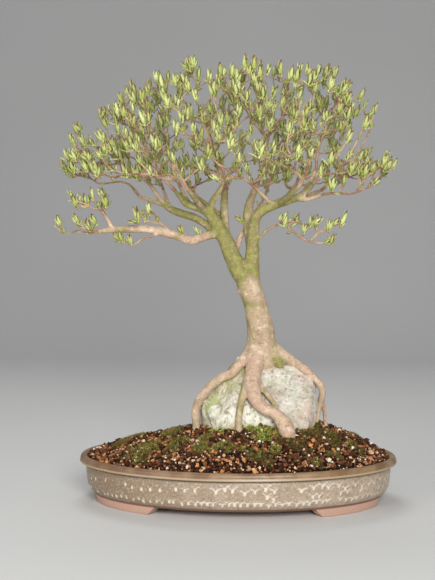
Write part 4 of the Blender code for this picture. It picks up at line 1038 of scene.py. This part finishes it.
places += outward * depths[:, None]
wood.vertices.foreach_set("co", places.ravel())
ends_of = np.array([edge.vertices[:] for edge in wood.edges])
tint = tints[nearest]
for _ in range(TINT_BLENDING):
    summed = tint.copy()
    for here, there in ((0, 1), (1, 0)):
        for part in range(2):
            summed[:, part] += np.bincount(ends_of[:, here], tint[ends_of[:, there], part], len(tint))
    tint = summed / (1 + np.bincount(ends_of.ravel(), minlength=len(tint)))[:, None]
tint[:, 0] *= 1 - GREENER_FACING_LEFT * outward[:, 0]
carry(wood, "algae", tint[:, 0])
carry(wood, "blush", tint[:, 1])
bark_place = np.stack([across * 0.3, upward * 0.3, along], axis=1) * MM
wood.attributes.new("grain_place", "FLOAT_VECTOR", "POINT").data.foreach_set(
    "vector", bark_place.astype(np.float32).ravel())
wood.polygons.foreach_set("use_smooth", np.full(len(wood.polygons), True))
wood.update()

bark, tree, shader = new_finish("maple bark", 0.8)
place = place_of(tree)
streaked = add(tree, "Attribute", {"attribute_name": "grain_place"}).outputs["Vector"]
streaks = mottle(tree, streaked, 0.0017, 3.0)
patches = mottle(tree, place, 0.018, 4.0)
specks = mottle(tree, place, 0.0016, 3.0)
algae = own_value(tree, "algae")
blush = own_value(tree, "blush")
colour = mixed(tree, rise(tree, patches, 0.3, 0.7), (0.42, 0.31, 0.19), (0.62, 0.49, 0.34))
colour = mixed(tree, product(tree, blush, rise(tree, streaks, 0.3, 0.65)), colour, (0.56, 0.36, 0.26))
green_patches = mottle(tree, place, 0.009, 6.0)
growth = rise(tree, maths(tree, "MULTIPLY_ADD", algae, 0.75, green_patches), 0.62, 1.0)
flakes = mottle(tree, place, 0.005, 6.0)
colour = tinted(tree, colour, flakes, 0.54, 0.68, 0.55, (0.78, 0.64, 0.50))
colour = tinted(tree, colour, flakes, 0.46, 0.34, 0.55, (0.34, 0.21, 0.14))
film = mixed(tree, rise(tree, flakes, 0.40, 0.62), (0.175, 0.175, 0.035), (0.27, 0.26, 0.055))
colour = mixed(tree, product(tree, growth, product(tree, rise(tree, flakes, 0.30, 0.44), 0.9)), colour, film)
colour = tinted(tree, colour, streaks, 0.38, 0.26, 0.6, (0.17, 0.10, 0.06))
colour = tinted(tree, colour, streaks, 0.6, 0.74, 0.25, (0.76, 0.62, 0.46))
colour = tinted(tree, colour, specks, 0.54, 0.70, 0.5, (0.20, 0.13, 0.075))
coat(tree, shader, colour, streaks, 0.0004)
show("maple_wood", wood, bark, "bark", "trunk")

# The leafy growth: each stem ends in twigs that fork to short shoots, and every shoot ends in a bud that has
# just opened. Twigs and leaves of one stem are a piece each, and replace its spray.
# Each twig runs through places with a radius, as the wood does.
TWIGS = {
    "low_left": (
        ((-205, -47, 377, 1.5), (-221, -44, 380, 1.3), (-238, -40, 376, 1.1), (-255, -36, 388, .9)),
        ((-203, -47, 377, 1.3), (-208, -56, 383, 1.1), (-216, -60, 390, 1)),
    ),
    "low_left_fork": (
        ((-187, -56, 409, 1.8), (-196, -58, 411, 1.4), (-206, -58, 416, 1.2), (-221, -56, 422, 1)),
    ),
    "left_limb_out": (
        ((-152, 28, 443, 1.9), (-161, 30, 451, 1.7), (-176, 32, 454, 1.5), (-189, 32, 452, 1.4),
         (-205, 34, 452, 1.3), (-216, 36, 459, 1.2), (-231, 36, 463, 1.1), (-243, 36, 461, 1)),
    ),
    "left_limb_up": (((-131, 6, 453, 2.2), (-142, 2, 459, 2), (-155, -2, 467, 1.7), (-169, -6, 477, 1.4)),),
    "left_limb_back": (((-116, 56, 456, 1.8), (-126, 66, 468, 1.5), (-134, 78, 482, 1.3)),),
    "fork_left": (((-95, -35, 446, 2.1), (-104, -42, 458, 1.7), (-114, -46, 476, 1.4)),),
    "fork_left_up": (((-85, -26, 454, 2), (-90, -26, 472, 1.7), (-96, -22, 492, 1.4)),),
    "fork_right": (((-17, -10, 455, 2.4), (-22, -14, 472, 1.9), (-30, -18, 490, 1.5)),),
    "centre_stem": (((-22, 34, 456, 3), (-30, 40, 478, 2.2), (-34, 48, 502, 1.6)),),
    "beige_stem": (((28, 30, 452, 3.2), (36, 34, 472, 2.4), (40, 36, 496, 1.7)),),
    "diagonal": (((34, 70, 426, 2.4), (42, 80, 446, 1.9), (48, 88, 470, 1.5)),),
    "rise": (((113, -26, 454, 2), (123, -28, 458, 1.8), (136, -32, 461, 1.6), (151, -38, 476, 1.4)),),
    "rise_up": (((111, -12, 480, 1.8), (114, -10, 498, 1.5)),),
    "right_limb": (
        ((139, -30, 432, 1.8), (158, -32, 431, 1.6), (171, -34, 435, 1.4), (188, -36, 442, 1.2)),
    ),
    "right_low": (
        ((53, -28, 387, 1.8), (65, -38, 392, 1.7), (71, -44, 385, 1.6), (83, -52, 374, 1.4),
         (96, -58, 366, 1.3), (108, -62, 363, 1.2), (119, -66, 362, 1)),
        ((66, -39, 391, 1.4), (77, -42, 392, 1.3), (90, -46, 389, 1.2), (103, -50, 387, 1.1)),
        ((100, -59, 365, 1.2), (109, -58, 374, 1.1), (118, -56, 381, 1), (130, -54, 385, 1)),
    ),
    "crossing": (((15, -52, 448, 2), (5, -58, 452, 1.8), (-11, -64, 450, 1.6), (-21, -70, 446, 1.4)),),
    "back_left": (((-74, 78, 448, 2.2), (-86, 86, 468, 1.7)), ((-66, 84, 452, 1.8), (-64, 96, 476, 1.5))),
    "back_right": (((80, 80, 446, 2.2), (92, 88, 468, 1.7)), ((70, 86, 452, 1.8), (66, 98, 476, 1.5))),
    "front_left": (((-74, -72, 452, 2), (-82, -84, 470, 1.6)),),
    "front_right": (((94, -76, 454, 2), (100, -88, 474, 1.6)),),
    "back_far_right": (((134, 44, 454, 2), (146, 52, 472, 1.6)),),
    "low_left_shoot": (
        ((-107, -46, 393, 1.4), (-113, -51, 403, 1.3), (-120, -54, 406, 1.2), (-128, -57, 398, 1.2),
         (-134, -60, 391, 1)),
    ),
    "low_left_under": (
        ((-122, -50, 371, 1.4), (-131, -54, 367, 1.3), (-141, -58, 360, 1.2), (-150, -62, 363, 1.1),
         (-158, -66, 365, 1)),
    ),
}
# Where bud tips stand on the low sprays and on the right limb's.
BUD_TIPS = {
    "low_left": ((-252, -34, 404), (-221, -62, 403), (-209, -52, 398), (-199, -60, 404),
                 (-190, -40, 400)),
    "low_left_fork": ((-214, -50, 434), (-199, -62, 439), (-188, -52, 443), (-180, -66, 430),
                      (-226, -58, 430)),
    "low_left_shoot": ((-120, -56, 422), (-138, -64, 414), (-128, -48, 410)),
    "low_left_under": ((-146, -62, 378), (-160, -68, 380), (-133, -50, 384)),
    "right_low": ((134, -68, 378), (96, -66, 392), (112, -48, 404), (128, -60, 398), (150, -52, 408),
                  (84, -38, 406), (70, -50, 408), (104, -60, 404)),
    "right_limb": ((219, -36, 482), (207, -30, 488), (190, -46, 476), (196, -22, 480), (172, -40, 472),
                   (152, -22, 464), (134, -38, 458)),
}
# The crown's outline from the front: the height of its top over x, and of its underside.
CROWN_TOP = ((-252, 484), (-232, 540), (-195, 558), (-160, 589), (-113, 611), (-72, 628), (-22, 618),
             (12, 627), (60, 621), (130, 616), (160, 596), (195, 562), (219, 484))
CROWN_BASE = ((-252, 462), (-160, 454), (-100, 446), (0, 452), (100, 452), (219, 458))
CROWN_CENTRE_X = -16.0
CROWN_HALF_LENGTH = 240.0
CROWN_HALF_DEPTH = 140.0
CROWN_WAIST = 446.0
CROWN_BUDS = 102
BUD_SPACING = 27.0
CROWN_TRIES = 20000
CROWN_SEED = 18
BUD_LENGTH = 17.0
BUD_WIDTH = 4.6
BUD_LEAN = 0.42
BUD_OPENING = 0.42
SHOOT_RADIUS = 1.05
SHOOT_BOW = 0.1
SHOOT_SAG = 0.07
SHORT_SHOOT = 18.0
LONG_SHOOT = 60.0
PREFER_AHEAD = 0.6
PREFER_UP = 0.3
SHARPEST_TURN = 0.3
CLEARANCE = 0.7
PLACING_TRIES = 14


class Reach:
    """The stretches of wood and leaf placed so far, to keep each spray clear of the others."""

    def __init__(self):
        self.stretches = []
        self.owners = []

    def add(self, owner, stretches):
        self.stretches.extend((*start, *end, radius) for start, end, radius in stretches)
        self.owners.extend([owner] * len(stretches))

    def clear(self, owner, stretches):
        """Whether new stretches stay off all that belongs to others."""
        others = np.array([
            stretch for stretch, name in zip(self.stretches, self.owners) if name != owner
        ])
        for start, end, radius in stretches:
            gap = apart(np.array(start), np.array(end), others[:, :3], others[:, 3:6]) - others[:, 6] - radius
            if gap.min() < CLEARANCE:
                return False
        return True


def apart(start, end, starts, ends):
    """The distance from one stretch to each of many."""
    along = end - start
    others = ends - starts
    between = start - starts
    own = along @ along + 1e-9
    theirs = np.einsum("ij,ij->i", others, others) + 1e-9
    shared = others @ along
    own_lead = between @ along
    their_lead = np.einsum("ij,ij->i", others, between)
    spread = np.maximum(own * theirs - shared ** 2, 1e-6)
    part = np.clip((shared * their_lead - theirs * own_lead) / spread, 0, 1)
    other_part = np.clip((shared * part + their_lead) / theirs, 0, 1)
    part = np.clip((shared * other_part - own_lead) / own, 0, 1)
    gap = between + part[:, None] * along - other_part[:, None] * others
    return np.sqrt(np.einsum("ij,ij->i", gap, gap))


def stretches_of(route):
    return [(a[:3], b[:3], max(a[3], b[3])) for a, b in zip(route, route[1:])]


def height_on(line, x):
    """The height of an outline of (x, height) corners at x."""
    return float(np.interp(x, [corner[0] for corner in line], [corner[1] for corner in line]))


def crown_tips(rng, tips, count, spacing, tries):
    """Adds bud tips until there are count, spread evenly through the crown and mostly near its top."""
    while len(tips) < count and tries:
        tries -= 1
        x = CROWN_CENTRE_X + rng.uniform(-1, 1) * CROWN_HALF_LENGTH
        half = CROWN_HALF_DEPTH * math.sqrt(max(0.0, 1 - ((x - CROWN_CENTRE_X) / CROWN_HALF_LENGTH) ** 2))
        y = rng.uniform(-1, 1) * half
        fall = math.sqrt(max(0.0, 1 - (y / (half + 1)) ** 2))
        top = CROWN_WAIST + (height_on(CROWN_TOP, x) - CROWN_WAIST) * fall
        base = height_on(CROWN_BASE, x) + BUD_LENGTH
        z = top - rng.random() ** 1.7 * (top - base)
        if z < base:
            continue
        tip = Vector((x, y, z))
        if all((tip - other).length > spacing for other in tips):
            tips.append(tip)
    return tips


def bud_way(tip, rng):
    """Buds stand nearly upright and lean a little outwards."""
    out = Vector((tip.x - CROWN_CENTRE_X, tip.y, 0)) / CROWN_HALF_LENGTH
    waver = Vector((rng.uniform(-1, 1), rng.uniform(-1, 1), 0)) * 0.16
    return (out * BUD_LEAN + waver + Vector((0, 0, 1))).normalized()


def plan_shoot(joints, tip, rng):
    """A shoot from the best placed joint of the spray's wood to a bud with its tip at tip."""
    way = bud_way(tip, rng)
    base = tip - way * BUD_LENGTH
    best = None
    for point, along, radius in joints:
        step = base - point
        length = step.length
        if length < 5 or step.normalized().dot(way) < SHARPEST_TURN:
            continue
        heading = step.normalized()
        cost = length * (1.5 - PREFER_AHEAD * heading.dot(along) - PREFER_UP * heading.z)
        if best is None or cost < best[0]:
            best = (cost, point, along, radius)
    if best is None:
        return None
    _, root, along, radius = best
    length = (base - root).length
    bow = along * length * SHOOT_BOW - Vector((0, 0, SHOOT_SAG * length))
    waver = Vector((rng.uniform(-1, 1), rng.uniform(-1, 1), rng.uniform(-1, 1))) * SHOOT_SAG * length
    thick = min(radius * 0.88, SHOOT_RADIUS + length * 0.006)
    route = [(*root, thick)]
    if length > LONG_SHOOT:
        route.append((*(root.lerp(base, 0.33) + bow + waver), thick * 0.95))
        route.append((*(root.lerp(base, 0.68) + bow * 0.4 - waver), thick * 0.88))
    elif length > SHORT_SHOOT:
        route.append((*(root.lerp(base, 0.5) + bow + waver * 0.7), thick * 0.93))
    route.append((*base, SHOOT_RADIUS * 0.85))
    turn = rng.uniform(0, math.pi)
    return route, way, turn, rng.uniform(0.86, 1.08)


def side_of(way, turn):
    """A way square to the given one, turned about it."""
    return Matrix.Rotation(turn, 3, way) @ way.orthogonal().normalized()


def shoot_stretches(route, way, turn, size):
    side = side_of(way, turn)
    opened = (side + way.cross(side)).normalized()
    base = Vector(route[-1][:3])
    found = stretches_of(route)
    reach = BUD_LENGTH * size
    found.append((tuple(base), tuple(base + way * reach), BUD_WIDTH * 0.45))
    for sign in (1, -1):
        axis = (way * 0.9 + opened * sign * BUD_OPENING).normalized()
        found.append((tuple(base), tuple(base + way * 2 + axis * reach * 0.75), BUD_WIDTH * 0.4))
    return found


def joints_of(route, first=0):
    """Places on a route where shoots can grow: its points and the middles between them."""
    found = []
    for number, (start, end) in enumerate(zip(route, route[1:])):
        low, high = Vector(start[:3]), Vector(end[:3])
        along = (high - low).normalized()
        if number >= first:
            found.append((low.lerp(high, 0.5), along, (start[3] + end[3]) / 2))
            found.append((high - along * 0.5, along, end[3]))
    return found


def spray_twigs(name):
    """The spray's stem, from just past the cut end of its limb, with its listed twigs."""
    limb = WOOD[name]
    tip, behind = Vector(limb[-1][:3]), Vector(limb[-2][:3])
    along = (tip - behind).normalized()
    radius = limb[-1][3]
    start = (*(tip + along * GAP), radius)
    straight = (*(tip + along * 4), radius * 0.94)
    twigs = [(start, straight, *TWIGS[name][0])]
    for twig in TWIGS[name][1:]:
        root = min(twigs[0][1:], key=lambda point: (Vector(point[:3]) - Vector(twig[0][:3])).length)
        twigs.append(((*root[:3], root[3] * 0.85), *twig))
    return twigs


rng = random.Random(CROWN_SEED)
reach = Reach()
for route in WOOD.values():
    reach.add("wood", stretches_of(route))
twigs = {name: spray_twigs(name) for name in TWIGS}
for name, routes in twigs.items():
    for route in routes:
        reach.add(name, stretches_of(route)[1 if route is routes[0] else 0:])
tips = {name: [Vector(tip) for tip in BUD_TIPS.get(name, ())] for name in TWIGS}
crown = [name for name in TWIGS if not name.startswith("low") and name != "right_low"]
ends = {name: Vector(twigs[name][0][-1][:3]) for name in crown}
top_tips = [Vector((x, rng.uniform(-12, 12), height)) for x, height in CROWN_TOP]
all_tips = crown_tips(rng, top_tips, CROWN_BUDS, BUD_SPACING, CROWN_TRIES)
for tip in all_tips:
    tips[min(crown, key=lambda name: (ends[name] - tip).length)].append(tip)
shoots = {name: [] for name in TWIGS}
joints = {name: [] for name in TWIGS}
for name, wanted in tips.items():
    start = Vector(twigs[name][0][0][:3])
    for number, route in enumerate(twigs[name]):
        joints[name].extend(joints_of(route, 1 if number == 0 else 0))
    wanted.sort(key=lambda tip: (tip - start).length)
    for tip in wanted:
        for attempt in range(PLACING_TRIES):
            shift = Vector((rng.uniform(-1, 1), rng.uniform(-1, 1), rng.uniform(-1, 0.2)))
            plan = plan_shoot(joints[name], tip + shift * attempt * 0.9, rng)
            if plan is None:
                continue
            if reach.clear(name, shoot_stretches(*plan)):
                shoots[name].append(plan)
                reach.add(name, shoot_stretches(*plan))
                joints[name].extend(joints_of(plan[0]))
                break

# Smaller shoots fill the crown between those of the CAD. They fork from the nearest twig.
FULL_CROWN = 430
FULL_SPACING = 13.0
FULL_TRIES = 60000
FARTHEST_SHOOT = 95
PAIRED_TIPS = 0.4
FULL_SEED = 3
TOP_ROOM = 5.0
# The tips of the shoots that stand highest along the crown's outline.
TALLEST_TIPS = (
    (-226, 0, 502), (-235, 0, 539), (-191, 0, 560), (-171, 20, 582), (-150, -20, 593), (-107, -30, 600),
    (-97, -20, 607), (-73, -50, 596), (-66, -63, 618), (-57, -60, 617), (-24, -40, 613), (-7, -30, 615),
    (14, -63, 618), (23, -60, 618), (60, -25, 617), (85, -20, 609), (99, -30, 612), (117, -10, 615),
    (127, -20, 613), (141, -10, 612), (152, -15, 594), (180, 0, 584), (193, 0, 556),
)
# Where the crown is open, seen from the front: x, z, half width and half height.
OPEN_PLACES = ((-206, 552, 22, 26), (186, 522, 24, 32), (-236, 515, 14, 18))


def in_open_place(tip):
    return any(
        abs(tip.x - x) <= half_width and abs(tip.z - z) <= half_height
        for x, z, half_width, half_height in OPEN_PLACES
    )


rng = random.Random(FULL_SEED)
placed = [Vector(plan[0][-1][:3]) + plan[1] * BUD_LENGTH for name in TWIGS for plan in shoots[name]]
fuller = crown_tips(rng, list(placed), FULL_CROWN, FULL_SPACING, FULL_TRIES)[len(placed):]
highest = cad_high.z / MM - TOP_ROOM
fuller = [tip for tip in fuller if not in_open_place(tip)]
fuller.extend(Vector(tip) for tip in TALLEST_TIPS)
for tip in sorted(fuller, key=lambda tip: (tip - Vector((CROWN_CENTRE_X, 0, CROWN_WAIST))).length):
    tip.z = min(tip.z, highest)
    near = min(crown, key=lambda name: min((joint[0] - tip).length for joint in joints[name]))
    plan = plan_shoot(joints[near], tip, rng)
    if plan and (Vector(plan[0][0][:3]) - tip).length < FARTHEST_SHOOT:
        shoots[near].append(plan)
        joints[near].extend(joints_of(plan[0]))

# Each leaf is a blade folded along its middle, with veins, that tapers to a point and curls a little
# outwards. It springs from the tip of a shoot or from a node of a twig.
LEAF_LENGTHS = 4
LEAF_THICKNESS = 0.05
LEAF_SEED = 9
NODE_PITCH = 13.0
TWIG_PITCH = 3.2
TWIG_FULLNESS = 1.15
REACH_LOW = np.array(TO_FRAME.inverted() @ cad_low) + 0.5
REACH_HIGH = np.array(TO_FRAME.inverted() @ cad_high) - 0.5


def blade(width, fold, curl):
    """A leaf of unit length from its foot at the origin, along y, that turns its outside to z."""
    bm = bmesh.new()
    for skin in (1, -1):
        for vert in bmesh.ops.create_grid(bm, x_segments=2, y_segments=LEAF_LENGTHS, size=0.5)["verts"]:
            side, part = vert.co.x * 2, vert.co.y + 0.5
            half = width / 2 * (part ** 0.9 * max(0.0, 1 - part) ** 1.2 / 0.24 + 0.1 * (1 - part)) + 0.01
            inward = -abs(side) * half * math.sin(fold)
            thick = skin * LEAF_THICKNESS / 2 if abs(side) < 0.5 and 0.01 < part < 0.99 else 0
            bowed = curl * part ** 2.4 + 0.1 * math.sin(math.pi * part)
            vert.co = (side * half * math.cos(fold), part, inward + bowed + thick)
    bmesh.ops.remove_doubles(bm, verts=bm.verts, dist=0.0005)
    bmesh.ops.recalc_face_normals(bm, faces=bm.faces)
    return marked_leaf(bm, width)


def marked_leaf(bm, width):
    """The leaf's mesh, with each point's way up from its foot and across from its middle."""
    rising = bm.verts.layers.float.new("rising")
    aside = bm.verts.layers.float.new("aside")
    for vert in bm.verts:
        vert[rising] = vert.co.y
        vert[aside] = vert.co.x / (width / 2)
    return finished_mesh("leaf", bm, 70)


def bud_scale():
    """A closed bud or one of its scales: a small pointed egg of unit length."""
    bm = bmesh.new()
    bmesh.ops.create_icosphere(bm, subdivisions=1, radius=0.5)
    bmesh.ops.scale(bm, vec=(0.5, 1.15, 0.5), verts=bm.verts)
    bmesh.ops.translate(bm, vec=(0, 0.42, 0), verts=bm.verts)
    egg = marked_leaf(bm, 4.0)
    for value in egg.attributes["rising"].data:
        value.value *= 0.14
    return egg


def leaf_turn(way, out, opening, size):
    """The turn of a leaf that stands along way, opened outwards by an angle."""
    axis = way * math.cos(opening) + out * math.sin(opening)
    face = out * math.cos(opening) - way * math.sin(opening)
    return np.array([axis.cross(face) * size, axis * size, face * size]).T


class Foliage:
    """The leaves and scales of one stem, gathered by kind until they are stamped."""

    def __init__(self, rng):
        self.rng = rng
        self.turns = [[] for _ in BLADES]
        self.places = [[] for _ in BLADES]
        self.tones = [[] for _ in BLADES]

    def put(self, kind, turn, place, tone):
        """Adds a leaf, made smaller where its tip would pass the tree's known reach."""
        place = np.array(place)
        room = np.where(turn[:, 1] > 0, REACH_HIGH - place, place - REACH_LOW)
        self.turns[kind].append(turn * min(1.0, (room / (np.abs(turn[:, 1]) + 0.01)).min()))
        self.places[kind].append(place)
        self.tones[kind].append(tone)

    def cluster(self, base, way, length, leaves):
        """An opening bud: leaves pressed together, and round them smaller ones that have begun to part."""
        rng = self.rng
        around = rng.uniform(0, 2 * math.pi)
        tone = rng.random()
        closed = rng.uniform(0.03, 0.17)
        for number in range(leaves):
            pair = number // 2
            out = side_of(way, around + (number % 2 + pair * 0.5) * math.pi)
            if pair == 0:
                opening, size = closed, length
            elif pair == 1 and leaves > 3:
                opening, size = closed + rng.uniform(-0.02, 0.22), length * rng.uniform(0.7, 0.98)
            else:
                opening, size = rng.uniform(0.35, 1.0), length * rng.uniform(0.35, 0.7)
            kind = 0 if opening < 0.35 else rng.choice((1, 2))
            shade = clamped(tone + rng.uniform(-0.2, 0.2))
            self.put(kind, leaf_turn(way, out, opening, size), base + out * 0.5, shade)
        for sign in (1, -1):
            out = side_of(way, around + 0.8) * sign
            turn = leaf_turn(way, out, 0.35, length * 0.24)
            self.put(3, turn, base - way * 0.6 + out * 0.3, rng.random())

    def mesh(self):
        """All of them as one mesh."""
        parts = bmesh.new()
        for template, turns, places, tones in zip(BLADES, self.turns, self.places, self.tones):
            if places:
                parts.from_mesh(stamped("leaves", template, turns, places, tone=tones))
        leaves = bpy.data.meshes.new("leaves")
        parts.to_mesh(leaves)
        parts.free()
        return leaves


# Leafy sprouts on bare wood: where each stands, and its way. Two are on the low left limb, one on the beige
# stem.
LIMB_SPROUTS = (
    ((-74, -28, 374), (-0.4, -0.3, 0.8)),
    ((-52, -20, 374), (-0.5, -0.3, 0.8)),
    ((9, 14, 392), (-0.7, -0.4, 0.6)),
)
BLADES = (blade(0.46, 0.8, 0.0), blade(0.34, 0.7, 0.28), blade(0.28, 0.9, 0.05), bud_scale())

young_bark, tree, shader = new_finish("young twig bark", 0.6)
place = place_of(tree)
patches = mottle(tree, place, 0.012, 4.0)
pale_flecks_and_highlight = mottle(tree, place, 0.0022, 3.0)
colour = mixed(tree, rise(tree, patches, 0.35, 0.65), (0.26, 0.135, 0.075), (0.50, 0.33, 0.21))
# The pale flecks on the twigs are partly the bark's own paler marks, partly painted highlight.
colour = tinted(tree, colour, pale_flecks_and_highlight, 0.55, 0.7, 0.6, (0.62, 0.45, 0.32))
coat(tree, shader, colour, pale_flecks_and_highlight, 0.0002)

leaf_green, tree, shader = new_finish("young maple leaf", 0.5)
place = place_of(tree)
rising = own_value(tree, "rising")
aside = own_value(tree, "aside")
tone = own_value(tree, "tone")
outer = maths(tree, "ABSOLUTE", aside)
wave = maths(tree, "SUBTRACT", product(tree, rising, 7.0), product(tree, outer, 1.6))
vein = rise(tree, maths(tree, "PINGPONG", wave, 0.5), 0.12, 0.0)
colour = mixed(tree, tone, (0.36, 0.42, 0.085), (0.62, 0.66, 0.26))
colour = tinted(tree, colour, outer, 0.55, 1.0, 0.5, (0.80, 0.80, 0.50))
colour = mixed(tree, product(tree, vein, 0.35), colour, (0.74, 0.76, 0.40))
browned = product(tree, rise(tree, rising, 0.45, 1.0), rise(tree, tone, 0.9, 0.25))
colour = mixed(tree, product(tree, browned, 0.85), colour, (0.50, 0.31, 0.18))
colour = mixed(tree, rise(tree, rising, 0.1, 0.0), colour, (0.45, 0.24, 0.12))
coat(tree, shader, colour, vein, 0.0002)

rng = random.Random(LEAF_SEED)
for name in TWIGS:
    foliage = Foliage(rng)
    limb_end = Vector(WOOD[name][-1][:3])
    inside_limb = limb_end - (limb_end - Vector(WOOD[name][-2][:3])).normalized() * 3
    routes = [((*inside_limb, WOOD[name][-1][3]), *twigs[name][0]), *twigs[name][1:]]
    for route, way, _, size in shoots[name]:
        routes.append(route)
        base = Vector(route[-1][:3])
        tip = base + way * BUD_LENGTH * size
        length = BUD_LENGTH * size * rng.uniform(1.05, 1.55)
        foliage.cluster(tip - way * length, way, length, rng.choice((4, 5, 6, 6, 7)))
        if rng.random() < PAIRED_TIPS and len(route) > 2:
            side = side_of(way, rng.uniform(0, math.pi))
            for sign in (1, -1):
                aside = (way + side * sign * rng.uniform(0.35, 0.8)).normalized()
                foliage.cluster(base - way * 2.5, aside, rng.uniform(10, 18), rng.choice((2, 3, 4)))
    wavy = []
    for number, route in enumerate(routes):
        line = evenly(smooth_line(route, 6), TWIG_PITCH)
        line[:, 3] *= TWIG_FULLNESS if number else 1.0
        length = TWIG_PITCH * (len(line) - 1)
        shift = rng.uniform(0.3, 0.7) * NODE_PITCH
        travelled = np.arange(len(line)) * TWIG_PITCH
        nodes = np.arange(shift, length - 4, NODE_PITCH)
        for node in nodes:
            line[:, 3] *= 1 + 0.22 * np.exp(-((travelled - node) / 1.8) ** 2)
            index = min(len(line) - 2, int(node / TWIG_PITCH))
            along = Vector(line[index + 1, :3] - line[index, :3]).normalized()
            out = side_of(along, rng.uniform(0, math.pi))
            if number == 0 and node < 10:
                continue
            for sign in (1, -1):
                base = Vector(line[index, :3]) + out * sign * line[index, 3] * 0.6
                way = (along * 0.45 + out * sign * 0.75 + Vector((0, 0, 0.75))).normalized()
                if rng.random() < 0.2:
                    foliage.cluster(base, way, rng.uniform(8, 14), rng.choice((2, 3, 4)))
                elif rng.random() < 0.6:
                    foliage.put(3, leaf_turn(way, out * sign, 0.1, rng.uniform(3, 4.5)), base, rng.random())
        wavy.append(line)
    for route in twigs[name]:
        base = Vector(route[-1][:3])
        way = (base - Vector(route[-2][:3])).normalized()
        way = (way + Vector((0, 0, 0.8))).normalized()
        foliage.cluster(base - way, way, rng.uniform(14, 20), 6)
    show("twigs_" + name, tubes("twigs", wavy, 6), young_bark, "bark", "spray_" + name)
    show("leaves_" + name, foliage.mesh(), leaf_green, "buds", "spray_" + name)
foliage = Foliage(rng)
for base, way in LIMB_SPROUTS:
    foliage.cluster(Vector(base), Vector(way).normalized(), rng.uniform(16, 20), 6)
show("leaves_on_limbs", foliage.mesh(), leaf_green, "buds")
